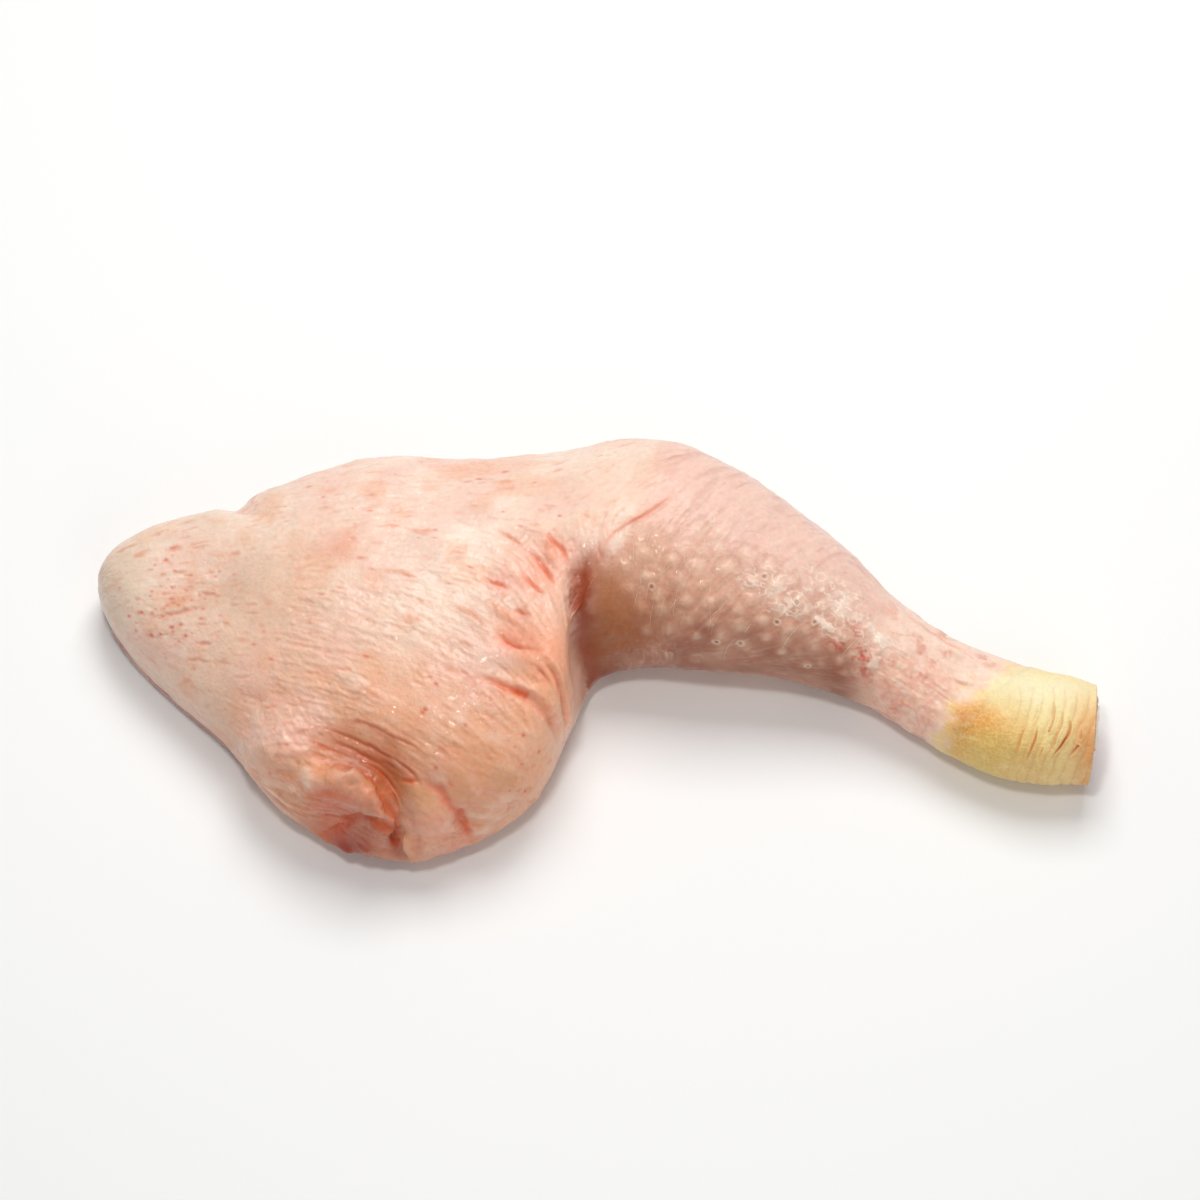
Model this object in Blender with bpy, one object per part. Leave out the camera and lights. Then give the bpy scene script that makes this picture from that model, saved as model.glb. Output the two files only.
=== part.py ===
"""A raw chicken leg, thigh and drumstick in one piece, with the yellow scaled stub of its shank.

It lies on the table on its cut side, skin up. Metres, +Z up, the hip at -X and the cut shank at +X.
The origin is under the middle of the leg, on the table.
"""

import math

import bmesh
import bpy
import numpy as np

MM = 0.001

# Driving sizes, in millimetres unless said otherwise.

# The leg is a loft through upright sections. Each row is one section, from the hip to the cut shank:
# the far edge's x and y, the near edge's x and y, the height of the crown, of the far edge,
# of the near edge and of the sole. A sole under zero is flesh that the table presses flat.
FAR_X, FAR_Y, NEAR_X, NEAR_Y, CROWN, FAR_EDGE, NEAR_EDGE, SOLE = range(8)
SECTIONS = np.array(
    [
        (-134, 22, -134, 22, 12, 12, 12, 12),  # tip of the hip end, a point
        (-131, 29, -130, 11, 22, 12, 11, 4),
        (-120, 36.5, -119, -3, 28, 14, 11, -1),
        (-99, 43, -98, -23, 33, 15, 12, -2),
        (-80, 50, -83, -42, 37, 16, 13, -2),
        (-60, 56, -65, -52.5, 40, 17, 13, -2),
        (-32, 55, -44, -55, 42, 18, 13, -2),
        (-10, 56, -19.5, -42, 44, 20, 14, -2),
        (4, 58, -7.5, -20, 46, 22, 16, -2),  # knee
        (14, 57.5, -1, -5.5, 47, 23, 19, -2),
        (25, 55, 11, -2, 47, 23, 22, -2),  # drumstick
        (39.5, 47.5, 27, -3.5, 45, 22, 22, -2),
        (54, 37.5, 44, -5, 41, 20, 20, -2),
        (69, 25.5, 60, -8, 35, 17, 17, -1.5),
        (82, 12.5, 73, -13, 29, 14, 14, -0.5),
        (99, 2.5, 84, -20.5, 25, 12.5, 12.5, 0.5),  # ankle
        (116, -4, 92, -26, 25, 12.5, 12.5, 0),  # the scales begin
        (125, -6.5, 108, -33, 26, 13, 13, -1),
        (131.5, -9, 129, -36, 26, 13, 13, -1),  # the cut end
    ]
)
LAST_SECTION = len(SECTIONS) - 1
SCALES_BEGIN = 16.0  # section where the feathered skin gives way to scales
MIDDLE_X, MIDDLE_Y = -1.05, 1.7  # plan position of the middle of the whole leg, which the origin is under
TOP_ROUNDNESS = 2.3  # exponent of the superellipse over the edges
THIGH_SOLE_ROUNDNESS, SHANK_SOLE_ROUNDNESS = 4.0, 2.3  # and under them
SOLE_CHANGES = (9.0, 3.0)  # section where the sole starts to grow rounder, and over how many sections
CROWN_SHIFT = 0.22  # how far the thigh's crown lies from the middle towards the far edge
CROWN_SHIFT_ENDS = 9.0  # section by which the crown is back in the middle

# Folds of the loose skin: the half width of a fold, and its curve over the plan with a height at each
# knot, below zero in a crease.
FOLDS = (
    # the crook of the knee, where the thigh laps over the drumstick, and the basin beside it
    (5.0, ((-2, 23, 0.0), (-4, 13, -2.5), (-5, 3, -4.5), (-2, -7, -6.0), (-1, -16, -6.0))),
    (9.0, ((8, 20, 0.0), (5, 10, -3.0), (8, 0, -3.5))),
    # the lobe of the thigh beside it
    (8.0, ((-19, 3, 0.0), (-14, -9, 3.0), (-15, -24, 2.5))),
    # the crease over the rolled flap, the flap, and the hollow in it
    (4.5, ((-75, -33, -1.0), (-66, -37, -3.0), (-58, -41, -4.0), (-53, -48, -5.0), (-50, -58, -5.5))),
    (5.5, ((-78, -43, 2.0), (-68, -42, 3.5), (-60, -46, 3.5), (-54, -52, 2.0))),
    # the crease under the flap
    (4.0, ((-80, -46, 0.0), (-73, -50, -3.0), (-66, -50, -3.5), (-58, -52, -2.5))),
    # the upper furrow over the tongue of skin
    (5.0, ((-74, -28, -0.5), (-62, -32, -2.0), (-50, -38, -1.5), (-43, -43, 0.0))),
    # the red furrow at the near side
    (4.0, ((-57, -37, 0.0), (-43, -44, -1.5), (-33, -52, -3.0), (-29, -56, -2.5))),
    # the mound at the near side of the hip, and the valley over it
    (8.0, ((-94, -31, 2.0), (-84, -29, 3.5), (-72, -33, 1.0))),
    (7.0, ((-95, -21, -1.0), (-80, -23, -2.0), (-68, -29, -1.5))),
    # the step where the skin of the hip folds over at the far edge
    (4.0, ((-99, 46, -2.5), (-95, 38, -2.0), (-88, 32, 0.0))),
    # the hollow beside the hip
    (9.0, ((-106, 14, -1.5), (-98, 16, -3.0), (-91, 18, -1.0))),
    # the deeper of the short gathers that fan out from the crook, and the gouge under them
    (4.0, ((-18, 19, 0.0), (-14, 13, -1.5), (-11, 8, -0.5))),
    (4.0, ((-26, -2, 0.0), (-21, -6, -2.0), (-13, -10, 0.0))),
    (4.0, ((-31, -14, 0.0), (-20, -18, -2.0), (-9, -26, 0.0))),
)

# The scaled sleeve of the shank round its core of tendon and bone.
SLEEVE_WALL_SHARE = 0.13  # of the section's half width
CORE_GAP = 0.45
END_GAP_SECTIONS = 0.022  # half of the gap between the leg and the shank, in sections
CRACK_FIRST, CRACK_LAST, CRACK_COUNT = 16.75, 17.8, 7  # the scales' cross cracks
CRACK_DEPTH = 0.7
CORE_PROUD = 0.8  # how far the core stands out of the cut end
CORE_ROUNDING_SHARE = 0.15  # of the core's half width

# The bare meat of the thigh's cut side, under the skin. Its outline is the leg's, drawn in.
MEAT_THICKNESS = 9.0
MEAT_BEVEL = 1.5
MEAT_FIRST, MEAT_LAST = 0.95, 8.6  # sections between which it runs
MEAT_END_SECTIONS = 1.5  # length over which its end at the knee rounds off
MEAT_LEAST_WIDTH = 5.0
MEAT_TIP_INSET, MEAT_FAR_INSET = 8.0, 13.0  # at the far edge, from the tip of the hip onwards
MEAT_TIP_SECTIONS = 2.0
MEAT_NEAR_INSET = 11.0
MEAT_SHOWN_INSET = 2.4  # under the lip of skin at the hip, where it shows
MEAT_SHOWN_UNTIL = 3.1  # section where it goes under the skin
POCKET_GAP = 0.35

# Facets.
LEG_RINGS = 74
TOP_POINTS = 42
SOLE_POINTS = 14
SHANK_RINGS = 22
SHANK_TOP_POINTS = 16
SHANK_SOLE_POINTS = 12
MEAT_POINTS = 34

MATERIALS = {  # linear colour, roughness
    "skin": ((0.80, 0.55, 0.42), 0.42),
    "meat": ((0.50, 0.20, 0.17), 0.35),
    "scales": ((0.80, 0.58, 0.26), 0.50),
    "core": ((0.72, 0.42, 0.36), 0.35),
}


def smooth_step(x):
    """0 below 0, 1 above 1, and an S curve between."""
    x = np.clip(x, 0, 1)
    return x * x * (3 - 2 * x)


def section_at(u):
    """The section's sizes at each u, on a cubic that passes through every row of SECTIONS.

    Before the tip the rows come back with far and near swapped, so that the hip end closes round.
    """
    swapped = SECTIONS[1][[NEAR_X, NEAR_Y, FAR_X, FAR_Y, CROWN, NEAR_EDGE, FAR_EDGE, SOLE]].copy()
    swapped[[CROWN, SOLE]] = 2 * SECTIONS[0][FAR_EDGE] - swapped[[CROWN, SOLE]]
    rows = np.vstack([swapped, SECTIONS, 2 * SECTIONS[-1] - SECTIONS[-2]])
    whole = np.clip(np.floor(u).astype(int), 0, LAST_SECTION - 1)
    t = (u - whole)[:, None]
    before, start, end, after = (rows[whole + k] for k in range(4))
    return start + 0.5 * t * (
        end - before + t * (2 * before - 5 * start + 4 * end - after + t * (3 * (start - end) + after - before))
    )


def leg_surface(u, angle, shrink=0.0):
    """Points of the leg's outside, without its folds, one ring of angles for each u.

    A ring is a superellipse between the far and the near edge, its upper half reaching the crown
    and its lower half the sole, pressed flat where it would go through the table.
    shrink draws it in towards its own middle by that share.
    """
    row = section_at(u)[:, None, :]
    cosine, sine = np.cos(angle)[None, :], np.sin(angle)[None, :]
    across = np.sign(cosine) * np.abs(cosine) ** (2 / TOP_ROUNDNESS)
    middle = (row[..., [FAR_X, FAR_Y]] + row[..., [NEAR_X, NEAR_Y]]) / 2
    half = (row[..., [FAR_X, FAR_Y]] - row[..., [NEAR_X, NEAR_Y]]) / 2
    edge = row[..., NEAR_EDGE] + (row[..., FAR_EDGE] - row[..., NEAR_EDGE]) * (across + 1) / 2
    shift = CROWN_SHIFT * (1 - smooth_step(u / CROWN_SHIFT_ENDS))[:, None]
    leaned = (across - shift) / (1 - shift * across)
    arch = np.clip(1 - np.abs(leaned) ** TOP_ROUNDNESS, 0, 1) ** (1 / TOP_ROUNDNESS)
    first, length = SOLE_CHANGES
    rounder = smooth_step((u - first) / length)[:, None]
    sole_roundness = THIGH_SOLE_ROUNDNESS + (SHANK_SOLE_ROUNDNESS - THIGH_SOLE_ROUNDNESS) * rounder
    belly = np.abs(sine) ** (2 / sole_roundness)
    height = np.where(
        sine >= 0,
        edge + (row[..., CROWN] - edge) * arch,
        np.maximum(edge - (edge - row[..., SOLE]) * belly, 0),
    )
    plan = middle + half * across[..., None] * (1 - shrink)
    height = edge + (height - edge) * (1 - shrink)
    return np.concatenate([plan, height[..., None]], axis=2)


def curve_through(knots, steps):
    """Points on a cubic that passes through every knot, with steps points to a span."""
    knots = np.array(knots, float)
    knots = np.vstack([2 * knots[0] - knots[1], knots, 2 * knots[-1] - knots[-2]])
    t = np.linspace(0, 1, steps, endpoint=False)[:, None]
    spans = [
        b + 0.5 * t * (c - a + t * (2 * a - 5 * b + 4 * c - d + t * (3 * (b - c) + d - a)))
        for a, b, c, d in zip(knots, knots[1:], knots[2:], knots[3:])
    ]
    return np.vstack([*spans, knots[-2]])


def fold_lift(plan, fold):
    """How far a fold lifts each point of the plan: its curve, blurred by a bell of its half width."""
    half_width, knots = fold
    curve = curve_through(knots, 6)
    middle = (curve[1:] + curve[:-1]) / 2
    length = np.hypot(*np.diff(curve[:, :2], axis=0).T)
    lift = np.zeros(plan.shape[:-1])
    for (x, y, height), step in zip(middle, length):
        reach = ((plan[..., 0] - x) ** 2 + (plan[..., 1] - y) ** 2) / half_width**2
        lift += height * step / (half_width * math.sqrt(math.pi)) * np.exp(-reach)
    return lift


def folded(points, angle):
    """The surface with its folds, which belong to the upper side and fade out below the edges."""
    upper = smooth_step(0.5 + 2.5 * np.sin(angle))[None, :]
    lift = sum(fold_lift(points[..., :2], fold) for fold in FOLDS) * upper
    along = np.gradient(points, axis=0)
    around = np.roll(points, -1, axis=1) - np.roll(points, 1, axis=1)
    outward = np.cross(around, along)
    outward /= np.maximum(np.linalg.norm(outward, axis=2, keepdims=True), 1e-9)
    moved = points + outward * lift[..., None]
    moved[..., 2] = np.maximum(moved[..., 2], 0)
    return moved


def ring_angles(top_points, sole_points):
    """Angles round a ring, from the far edge over the crown to the near edge and back under it."""
    return np.concatenate(
        [
            np.linspace(0, math.pi, top_points, endpoint=False),
            np.linspace(math.pi, 2 * math.pi, sole_points, endpoint=False),
        ]
    )


def new_object(name, bm, material):
    """A mesh object from bm, in millimetres, with one material and smooth faces."""
    bmesh.ops.recalc_face_normals(bm, faces=bm.faces)
    bmesh.ops.translate(bm, vec=(-MIDDLE_X, -MIDDLE_Y, 0), verts=bm.verts)
    bmesh.ops.scale(bm, vec=(MM, MM, MM), verts=bm.verts)
    mesh = bpy.data.meshes.new(name)
    bm.to_mesh(mesh)
    bm.free()
    mesh.shade_smooth()
    mesh.set_sharp_from_angle(angle=math.radians(50))
    obj = bpy.data.objects.new(name, mesh)
    bpy.context.scene.collection.objects.link(obj)
    obj.data.materials.append(material)
    return obj


def skinned(bm, rings):
    """Faces between each ring of vertices and the next, point to point."""
    for first, second in zip(rings, rings[1:]):
        for k in range(len(first)):
            bm.faces.new((first[k - 1], first[k], second[k], second[k - 1]))


def ring_of(bm, points):
    """A ring of new vertices."""
    return [bm.verts.new(point) for point in points]


def fan(bm, ring, point):
    """Closes a ring with triangles to one point."""
    tip = bm.verts.new(point)
    for k in range(len(ring)):
        bm.faces.new((ring[k - 1], ring[k], tip))


def make_material(name):
    colour, roughness = MATERIALS[name]
    material = bpy.data.materials.new(name)
    material.use_nodes = True
    surface = material.node_tree.nodes["Principled BSDF"]
    surface.inputs["Base Color"].default_value = (*colour, 1)
    surface.inputs["Roughness"].default_value = roughness
    surface.inputs["Metallic"].default_value = 0
    return material


def make_leg():
    """The skin-covered leg, from the tip of the hip to where the scales begin."""
    last = SCALES_BEGIN - END_GAP_SECTIONS
    u = np.concatenate([[0.12, 0.3, 0.55], np.linspace(0.85, last, LEG_RINGS - 3)])
    angle = ring_angles(TOP_POINTS, SOLE_POINTS)
    points = folded(leg_surface(u, angle), angle)
    bm = bmesh.new()
    rings = [ring_of(bm, ring) for ring in points]
    skinned(bm, rings)
    fan(bm, rings[0], (SECTIONS[0][FAR_X], SECTIONS[0][FAR_Y], SECTIONS[0][CROWN]))
    fan(bm, rings[-1], points[-1].mean(axis=0))
    return new_object("skin_covered_leg", bm, make_material("skin"))


def meat_outline(grow):
    """The meat's edge in plan: the leg's own edges drawn in, least at the hip, where the meat shows.

    It rounds off towards the middle at the knee.
    grow moves the whole outline outwards.
    """
    u = np.linspace(MEAT_FIRST, MEAT_LAST, MEAT_POINTS)
    row = section_at(u)
    far, near = row[:, [FAR_X, FAR_Y]], row[:, [NEAR_X, NEAR_Y]]
    width = np.linalg.norm(near - far, axis=1, keepdims=True)
    inwards = (near - far) / width
    hidden = smooth_step(u - MEAT_SHOWN_UNTIL)[:, None]
    end = 1 - np.sqrt(1 - (1 - (MEAT_LAST - u) / MEAT_END_SECTIONS).clip(0, 1) ** 2)[:, None]
    near_inset = MEAT_SHOWN_INSET + (MEAT_NEAR_INSET - MEAT_SHOWN_INSET) * hidden
    near_inset = near_inset + (width / 2 - MEAT_LEAST_WIDTH / 2 - near_inset) * end
    widening = smooth_step((u - MEAT_FIRST) / MEAT_TIP_SECTIONS)[:, None]
    far_inset = MEAT_TIP_INSET + (MEAT_FAR_INSET - MEAT_TIP_INSET) * widening
    far_inset = far_inset + (width / 2 - MEAT_LEAST_WIDTH / 2 - far_inset) * end
    outline = np.vstack([far + inwards * far_inset, (near - inwards * near_inset)[::-1]])
    along = np.roll(outline, -1, axis=0) - np.roll(outline, 1, axis=0)
    outwards = np.stack([-along[:, 1], along[:, 0]], axis=1)
    return outline + outwards / np.linalg.norm(outwards, axis=1, keepdims=True) * grow


def meat_block(name, grow, low, high, bevel):
    """The meat's outline extruded from low to high, its upper edge rounded."""
    bm = bmesh.new()
    base = bm.faces.new([bm.verts.new((x, y, low)) for x, y in meat_outline(grow)])
    made = bmesh.ops.extrude_face_region(bm, geom=[base])["geom"]
    top = [v for v in made if isinstance(v, bmesh.types.BMVert)]
    bmesh.ops.translate(bm, verts=top, vec=(0, 0, high - low))
    if bevel:
        rim = [e for e in bm.edges if all(v in top for v in e.verts)]
        bmesh.ops.bevel(bm, geom=rim, offset=bevel, segments=2, profile=0.5, affect="EDGES")
    return new_object(name, bm, make_material("meat"))


def cut_pocket(leg):
    """Cuts the meat's place out of the underside of the leg."""
    cutter = meat_block("pocket_cutter", POCKET_GAP, -5, MEAT_THICKNESS + POCKET_GAP, 0)
    cutter.hide_render = True
    cutter.display_type = "WIRE"
    modifier = leg.modifiers.new("pocket", "BOOLEAN")
    modifier.operation = "DIFFERENCE"
    modifier.object = cutter


def shank_angles():
    return ring_angles(SHANK_TOP_POINTS, SHANK_SOLE_POINTS)


def make_sleeve():
    """The scaled skin of the shank: a tube whose outside is cracked crosswise near the cut."""
    u = np.linspace(SCALES_BEGIN + END_GAP_SECTIONS, LAST_SECTION, SHANK_RINGS)
    angle = shank_angles()
    outside = leg_surface(u, angle)
    inside = leg_surface(u, angle, SLEEVE_WALL_SHARE)
    phase = (u - CRACK_FIRST) / (CRACK_LAST - CRACK_FIRST)
    cracks = np.where((phase > 0) & (phase < 1), np.sin(phase * CRACK_COUNT * math.pi) ** 2, 0)
    near_side = smooth_step(-np.cos(angle) * 1.5)
    depth = CRACK_DEPTH * cracks[:, None] * near_side[None, :]
    outside = outside + (inside - outside) * (depth / 2)[..., None]
    outside[..., 2] = np.maximum(outside[..., 2], 0)
    bm = bmesh.new()
    outer = [ring_of(bm, ring) for ring in outside]
    inner = [ring_of(bm, ring) for ring in inside]
    skinned(bm, [*outer, *inner[::-1], outer[0]])
    return new_object("scaled_shank", bm, make_material("scales"))


def make_core():
    """Tendon and bone in the sleeve, which show at the cut end, where they stand a little proud."""
    u = np.linspace(SCALES_BEGIN + END_GAP_SECTIONS, LAST_SECTION, SHANK_RINGS // 2)
    angle = shank_angles()
    row = section_at(u)
    half = np.hypot(row[:, FAR_X] - row[:, NEAR_X], row[:, FAR_Y] - row[:, NEAR_Y]) / 2
    least_half = np.minimum(half, row[:, CROWN] / 2).min()
    shrink = SLEEVE_WALL_SHARE + CORE_GAP / least_half * 1.3
    points = leg_surface(u, angle, shrink)
    last_row = section_at(np.array([float(LAST_SECTION)]))[0]
    across = last_row[[FAR_X, FAR_Y]] - last_row[[NEAR_X, NEAR_Y]]
    outwards = np.array([across[1], -across[0], 0]) / np.hypot(*across)
    bulge = leg_surface(u[-1:], angle, shrink + CORE_ROUNDING_SHARE)[0] + outwards * CORE_PROUD
    bm = bmesh.new()
    rings = [ring_of(bm, ring) for ring in [*points, bulge]]
    skinned(bm, rings)
    fan(bm, rings[0], points[0].mean(axis=0))
    fan(bm, rings[-1], bulge.mean(axis=0))
    return new_object("shank_core", bm, make_material("core"))


def build():
    for obj in list(bpy.data.objects):
        bpy.data.objects.remove(obj)
    leg = make_leg()
    meat_block("thigh_meat", 0, 0, MEAT_THICKNESS, MEAT_BEVEL)
    cut_pocket(leg)
    make_sleeve()
    make_core()


build()
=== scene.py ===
"""A raw chicken leg with its skin on, thigh and drumstick in one piece, and its yellow scaled shank."""

import itertools
import math

import bpy
import numpy as np
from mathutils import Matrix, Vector
from mathutils.kdtree import KDTree


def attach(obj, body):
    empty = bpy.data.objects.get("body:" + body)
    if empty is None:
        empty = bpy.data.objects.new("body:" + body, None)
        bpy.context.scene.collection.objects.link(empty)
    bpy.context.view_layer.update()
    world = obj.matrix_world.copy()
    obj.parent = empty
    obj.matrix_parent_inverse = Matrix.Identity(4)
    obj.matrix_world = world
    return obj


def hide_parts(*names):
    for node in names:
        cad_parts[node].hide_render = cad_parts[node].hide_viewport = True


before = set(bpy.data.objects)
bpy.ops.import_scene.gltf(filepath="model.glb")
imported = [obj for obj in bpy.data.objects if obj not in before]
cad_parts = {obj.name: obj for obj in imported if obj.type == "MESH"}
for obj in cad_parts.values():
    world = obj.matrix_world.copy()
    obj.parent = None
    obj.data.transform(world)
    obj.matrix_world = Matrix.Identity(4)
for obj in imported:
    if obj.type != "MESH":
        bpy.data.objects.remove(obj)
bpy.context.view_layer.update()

chance = np.random.default_rng(20)

# The skin of the leg, its form
# Thin, moist, loose skin that wraps thigh and drumstick in one piece over the flesh. It is a loft
# through upright sections, folded and creased where it hangs slack, and open below over the meat.

MM = 0.001
# One section to a row: the far edge's x and y, the near edge's x and y, and the heights of the crown,
# the far edge, the near edge and the sole, in millimetres. A sole under zero is pressed flat.
FAR_X, FAR_Y, NEAR_X, NEAR_Y, CROWN, FAR_EDGE, NEAR_EDGE, SOLE = range(8)
SECTIONS = np.array(
    [
        (-134, 22, -134, 22, 12, 12, 12, 12),  # tip of the hip end, a point
        (-131, 29, -130, 11, 22, 12, 11, 4),
        (-120, 36.5, -119, -3, 28, 14, 11, -1),
        (-99, 43, -98, -23, 33, 15, 12, -2),
        (-80, 50, -83, -42, 37, 16, 13, -2),
        (-60, 56, -65, -52.5, 40, 17, 13, -2),
        (-32, 55, -44, -55, 42, 18, 13, -2),
        (-10, 56, -19.5, -42, 44, 20, 14, -2),
        (4, 58, -7.5, -20, 46, 22, 16, -2),  # knee
        (14, 57.5, -1, -5.5, 47, 23, 19, -2),
        (25, 55, 11, -2, 47, 23, 22, -2),  # drumstick
        (39.5, 47.5, 27, -3.5, 45, 22, 22, -2),
        (54, 37.5, 44, -5, 41, 20, 20, -2),
        (69, 25.5, 60, -8, 35, 17, 17, -1.5),
        (82, 12.5, 73, -13, 29, 14, 14, -0.5),
        (99, 2.5, 84, -20.5, 25, 12.5, 12.5, 0.5),  # ankle
        (116, -4, 92, -26, 25, 12.5, 12.5, 0),  # the scales begin
        (125, -6.5, 108, -33, 26, 13, 13, -1),
        (131.5, -9, 129, -36, 26, 13, 13, -1),  # the cut end
    ]
)
LAST_SECTION = len(SECTIONS) - 1
SCALES_BEGIN = 16.0
MIDDLE_X, MIDDLE_Y = -1.05, 1.7
TOP_ROUNDNESS = 2.3
THIGH_SOLE_ROUNDNESS, SHANK_SOLE_ROUNDNESS = 4.0, 2.3
SOLE_CHANGES = (9.0, 3.0)
CROWN_SHIFT = 0.22
CROWN_SHIFT_ENDS = 9.0

# The large folds: half width, and a curve over the plan with a height at each knot.
FOLDS = (
    (5.0, ((-2, 23, 0.0), (-4, 13, -2.5), (-5, 3, -4.5), (-2, -7, -6.0), (-1, -16, -6.0))),
    (9.0, ((8, 20, 0.0), (5, 10, -3.0), (8, 0, -3.5))),
    (8.0, ((-19, 3, 0.0), (-14, -9, 3.0), (-15, -24, 2.5))),
    (4.5, ((-75, -33, -1.0), (-66, -37, -3.0), (-58, -41, -4.0), (-53, -48, -5.0), (-50, -58, -5.5))),
    (5.5, ((-78, -43, 2.0), (-68, -42, 3.5), (-60, -46, 3.5), (-54, -52, 2.0))),
    (4.0, ((-80, -46, 0.0), (-73, -50, -3.0), (-66, -50, -3.5), (-58, -52, -2.5))),
    (5.0, ((-74, -28, -0.5), (-62, -32, -2.0), (-50, -38, -1.5), (-43, -43, 0.0))),
    (4.0, ((-57, -37, 0.0), (-43, -44, -1.5), (-33, -52, -3.0), (-29, -56, -2.5))),
    (8.0, ((-94, -31, 2.0), (-84, -29, 3.5), (-72, -33, 1.0))),
    (7.0, ((-95, -21, -1.0), (-80, -23, -2.0), (-68, -29, -1.5))),
    (4.0, ((-99, 46, -2.5), (-95, 38, -2.0), (-88, 32, 0.0))),
    (9.0, ((-106, 14, -1.5), (-98, 16, -3.0), (-91, 18, -1.0))),
    (4.0, ((-18, 19, 0.0), (-14, 13, -1.5), (-11, 8, -0.5))),
    (4.0, ((-26, -2, 0.0), (-21, -6, -2.0), (-13, -10, 0.0))),
    (4.0, ((-31, -14, 0.0), (-20, -18, -2.0), (-9, -26, 0.0))),
)

# The opening in the skin of the cut side, as insets from the two edges.
OPEN_FIRST, OPEN_LAST = 0.95, 8.6
OPEN_END_SECTIONS = 1.5
OPEN_LEAST_WIDTH = 5.0
OPEN_TIP_INSET, OPEN_FAR_INSET = 8.0, 13.0
OPEN_TIP_SECTIONS = 2.0
OPEN_NEAR_INSET = 11.0
LIP_INSET = 2.4
LIP_UNTIL = 3.1
LIP_HEIGHT = 4.0  # how high the lip's edge hangs over the table where the meat shows
POCKET_TOP = 9.35
POCKET_GAP = 0.35

# The rounded near corner of the cut end.
CORNER_FROM, CORNER_SECTIONS = 17.2, 0.8
CORNER_Y, CORNER_WIDTH = -23, 11
CORNER_DEPTH = 1.5

ROW_PITCH = 0.42  # distance between two rows of the grid, along the leg
SCALE_ROW_PITCH = 0.23
TOP_COLUMNS = 330
WALL_COLUMNS = 22
RISE_COLUMNS = 3
CEILING_COLUMNS = 6


def smooth_step(x):
    """0 below 0, 1 above 1, and an S curve between."""
    x = np.clip(x, 0, 1)
    return x * x * (3 - 2 * x)


def bell(x):
    """1 at 0 and next to nothing past 2 to both sides: e to the power of minus x squared."""
    return np.exp(-(x**2))


def unit(vectors):
    """The vectors, each divided by its own length."""
    return vectors / np.maximum(np.linalg.norm(vectors, axis=-1, keepdims=True), 1e-9)


def length_along(line):
    """How far along a line of points each point is: the sum of the steps before it."""
    return np.concatenate([[0], np.cumsum(np.linalg.norm(np.diff(line, axis=0), axis=1))])


def cubic(before, start, end, after, t):
    """The smooth curve through four knots, t of the way from the second to the third."""
    bend = 3 * (start - end) + after - before
    bend = 2 * before - 5 * start + 4 * end - after + t * bend
    return start + 0.5 * t * (end - before + t * bend)


def section_at(u):
    """The section's sizes at each u, on a cubic that passes through every row of SECTIONS."""
    swapped = SECTIONS[1][[NEAR_X, NEAR_Y, FAR_X, FAR_Y, CROWN, NEAR_EDGE, FAR_EDGE, SOLE]].copy()
    swapped[[CROWN, SOLE]] = 2 * SECTIONS[0][FAR_EDGE] - swapped[[CROWN, SOLE]]
    rows = np.vstack([swapped, SECTIONS, 2 * SECTIONS[-1] - SECTIONS[-2]])
    whole = np.clip(np.floor(u).astype(int), 0, LAST_SECTION - 1)
    return cubic(*(rows[whole + k] for k in range(4)), (u - whole)[..., None])


def across_at(angle):
    """-1 at the near edge and 1 at the far edge, on a superellipse."""
    cosine = np.cos(angle)
    return np.sign(cosine) * np.abs(cosine) ** (2 / TOP_ROUNDNESS)


def plan_at(row, across):
    """Plan position between a section's two edges."""
    far, near = row[..., [FAR_X, FAR_Y]], row[..., [NEAR_X, NEAR_Y]]
    return (far + near) / 2 + (far - near) / 2 * across[..., None]


def upper_side(u, angle):
    """The leg over its edges: an arch from edge to crown whose top leans to the far side on the thigh."""
    row = section_at(u)
    across = across_at(angle)
    edge = row[..., NEAR_EDGE] + (row[..., FAR_EDGE] - row[..., NEAR_EDGE]) * (across + 1) / 2
    shift = CROWN_SHIFT * (1 - smooth_step(u / CROWN_SHIFT_ENDS))
    leaned = (across - shift) / (1 - shift * across)
    arch = np.clip(1 - np.abs(leaned) ** TOP_ROUNDNESS, 0, 1) ** (1 / TOP_ROUNDNESS)
    height = edge + (row[..., CROWN] - edge) * arch
    return np.concatenate([plan_at(row, across), height[..., None]], axis=-1)


def under_side(u, across):
    """The leg under its edges: a belly from edge to sole, pressed flat where it meets the table."""
    row = section_at(u)
    edge = row[..., NEAR_EDGE] + (row[..., FAR_EDGE] - row[..., NEAR_EDGE]) * (across + 1) / 2
    rounder = smooth_step((u - SOLE_CHANGES[0]) / SOLE_CHANGES[1])
    roundness = THIGH_SOLE_ROUNDNESS + (SHANK_SOLE_ROUNDNESS - THIGH_SOLE_ROUNDNESS) * rounder
    belly = np.clip(1 - np.abs(across) ** TOP_ROUNDNESS, 0, 1) ** (1 / roundness)
    height = np.maximum(edge - (edge - row[..., SOLE]) * belly, 0)
    return np.concatenate([plan_at(row, across), height[..., None]], axis=-1)


def curve_through(knots, steps):
    """Points on a cubic that passes through every knot, with steps points to a span."""
    knots = np.array(knots, float)
    knots = np.vstack([2 * knots[0] - knots[1], knots, 2 * knots[-1] - knots[-2]])
    t = np.linspace(0, 1, steps, endpoint=False)[:, None]
    spans = [cubic(*four, t) for four in zip(knots, knots[1:], knots[2:], knots[3:])]
    return np.vstack([*spans, knots[-2]])


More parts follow.
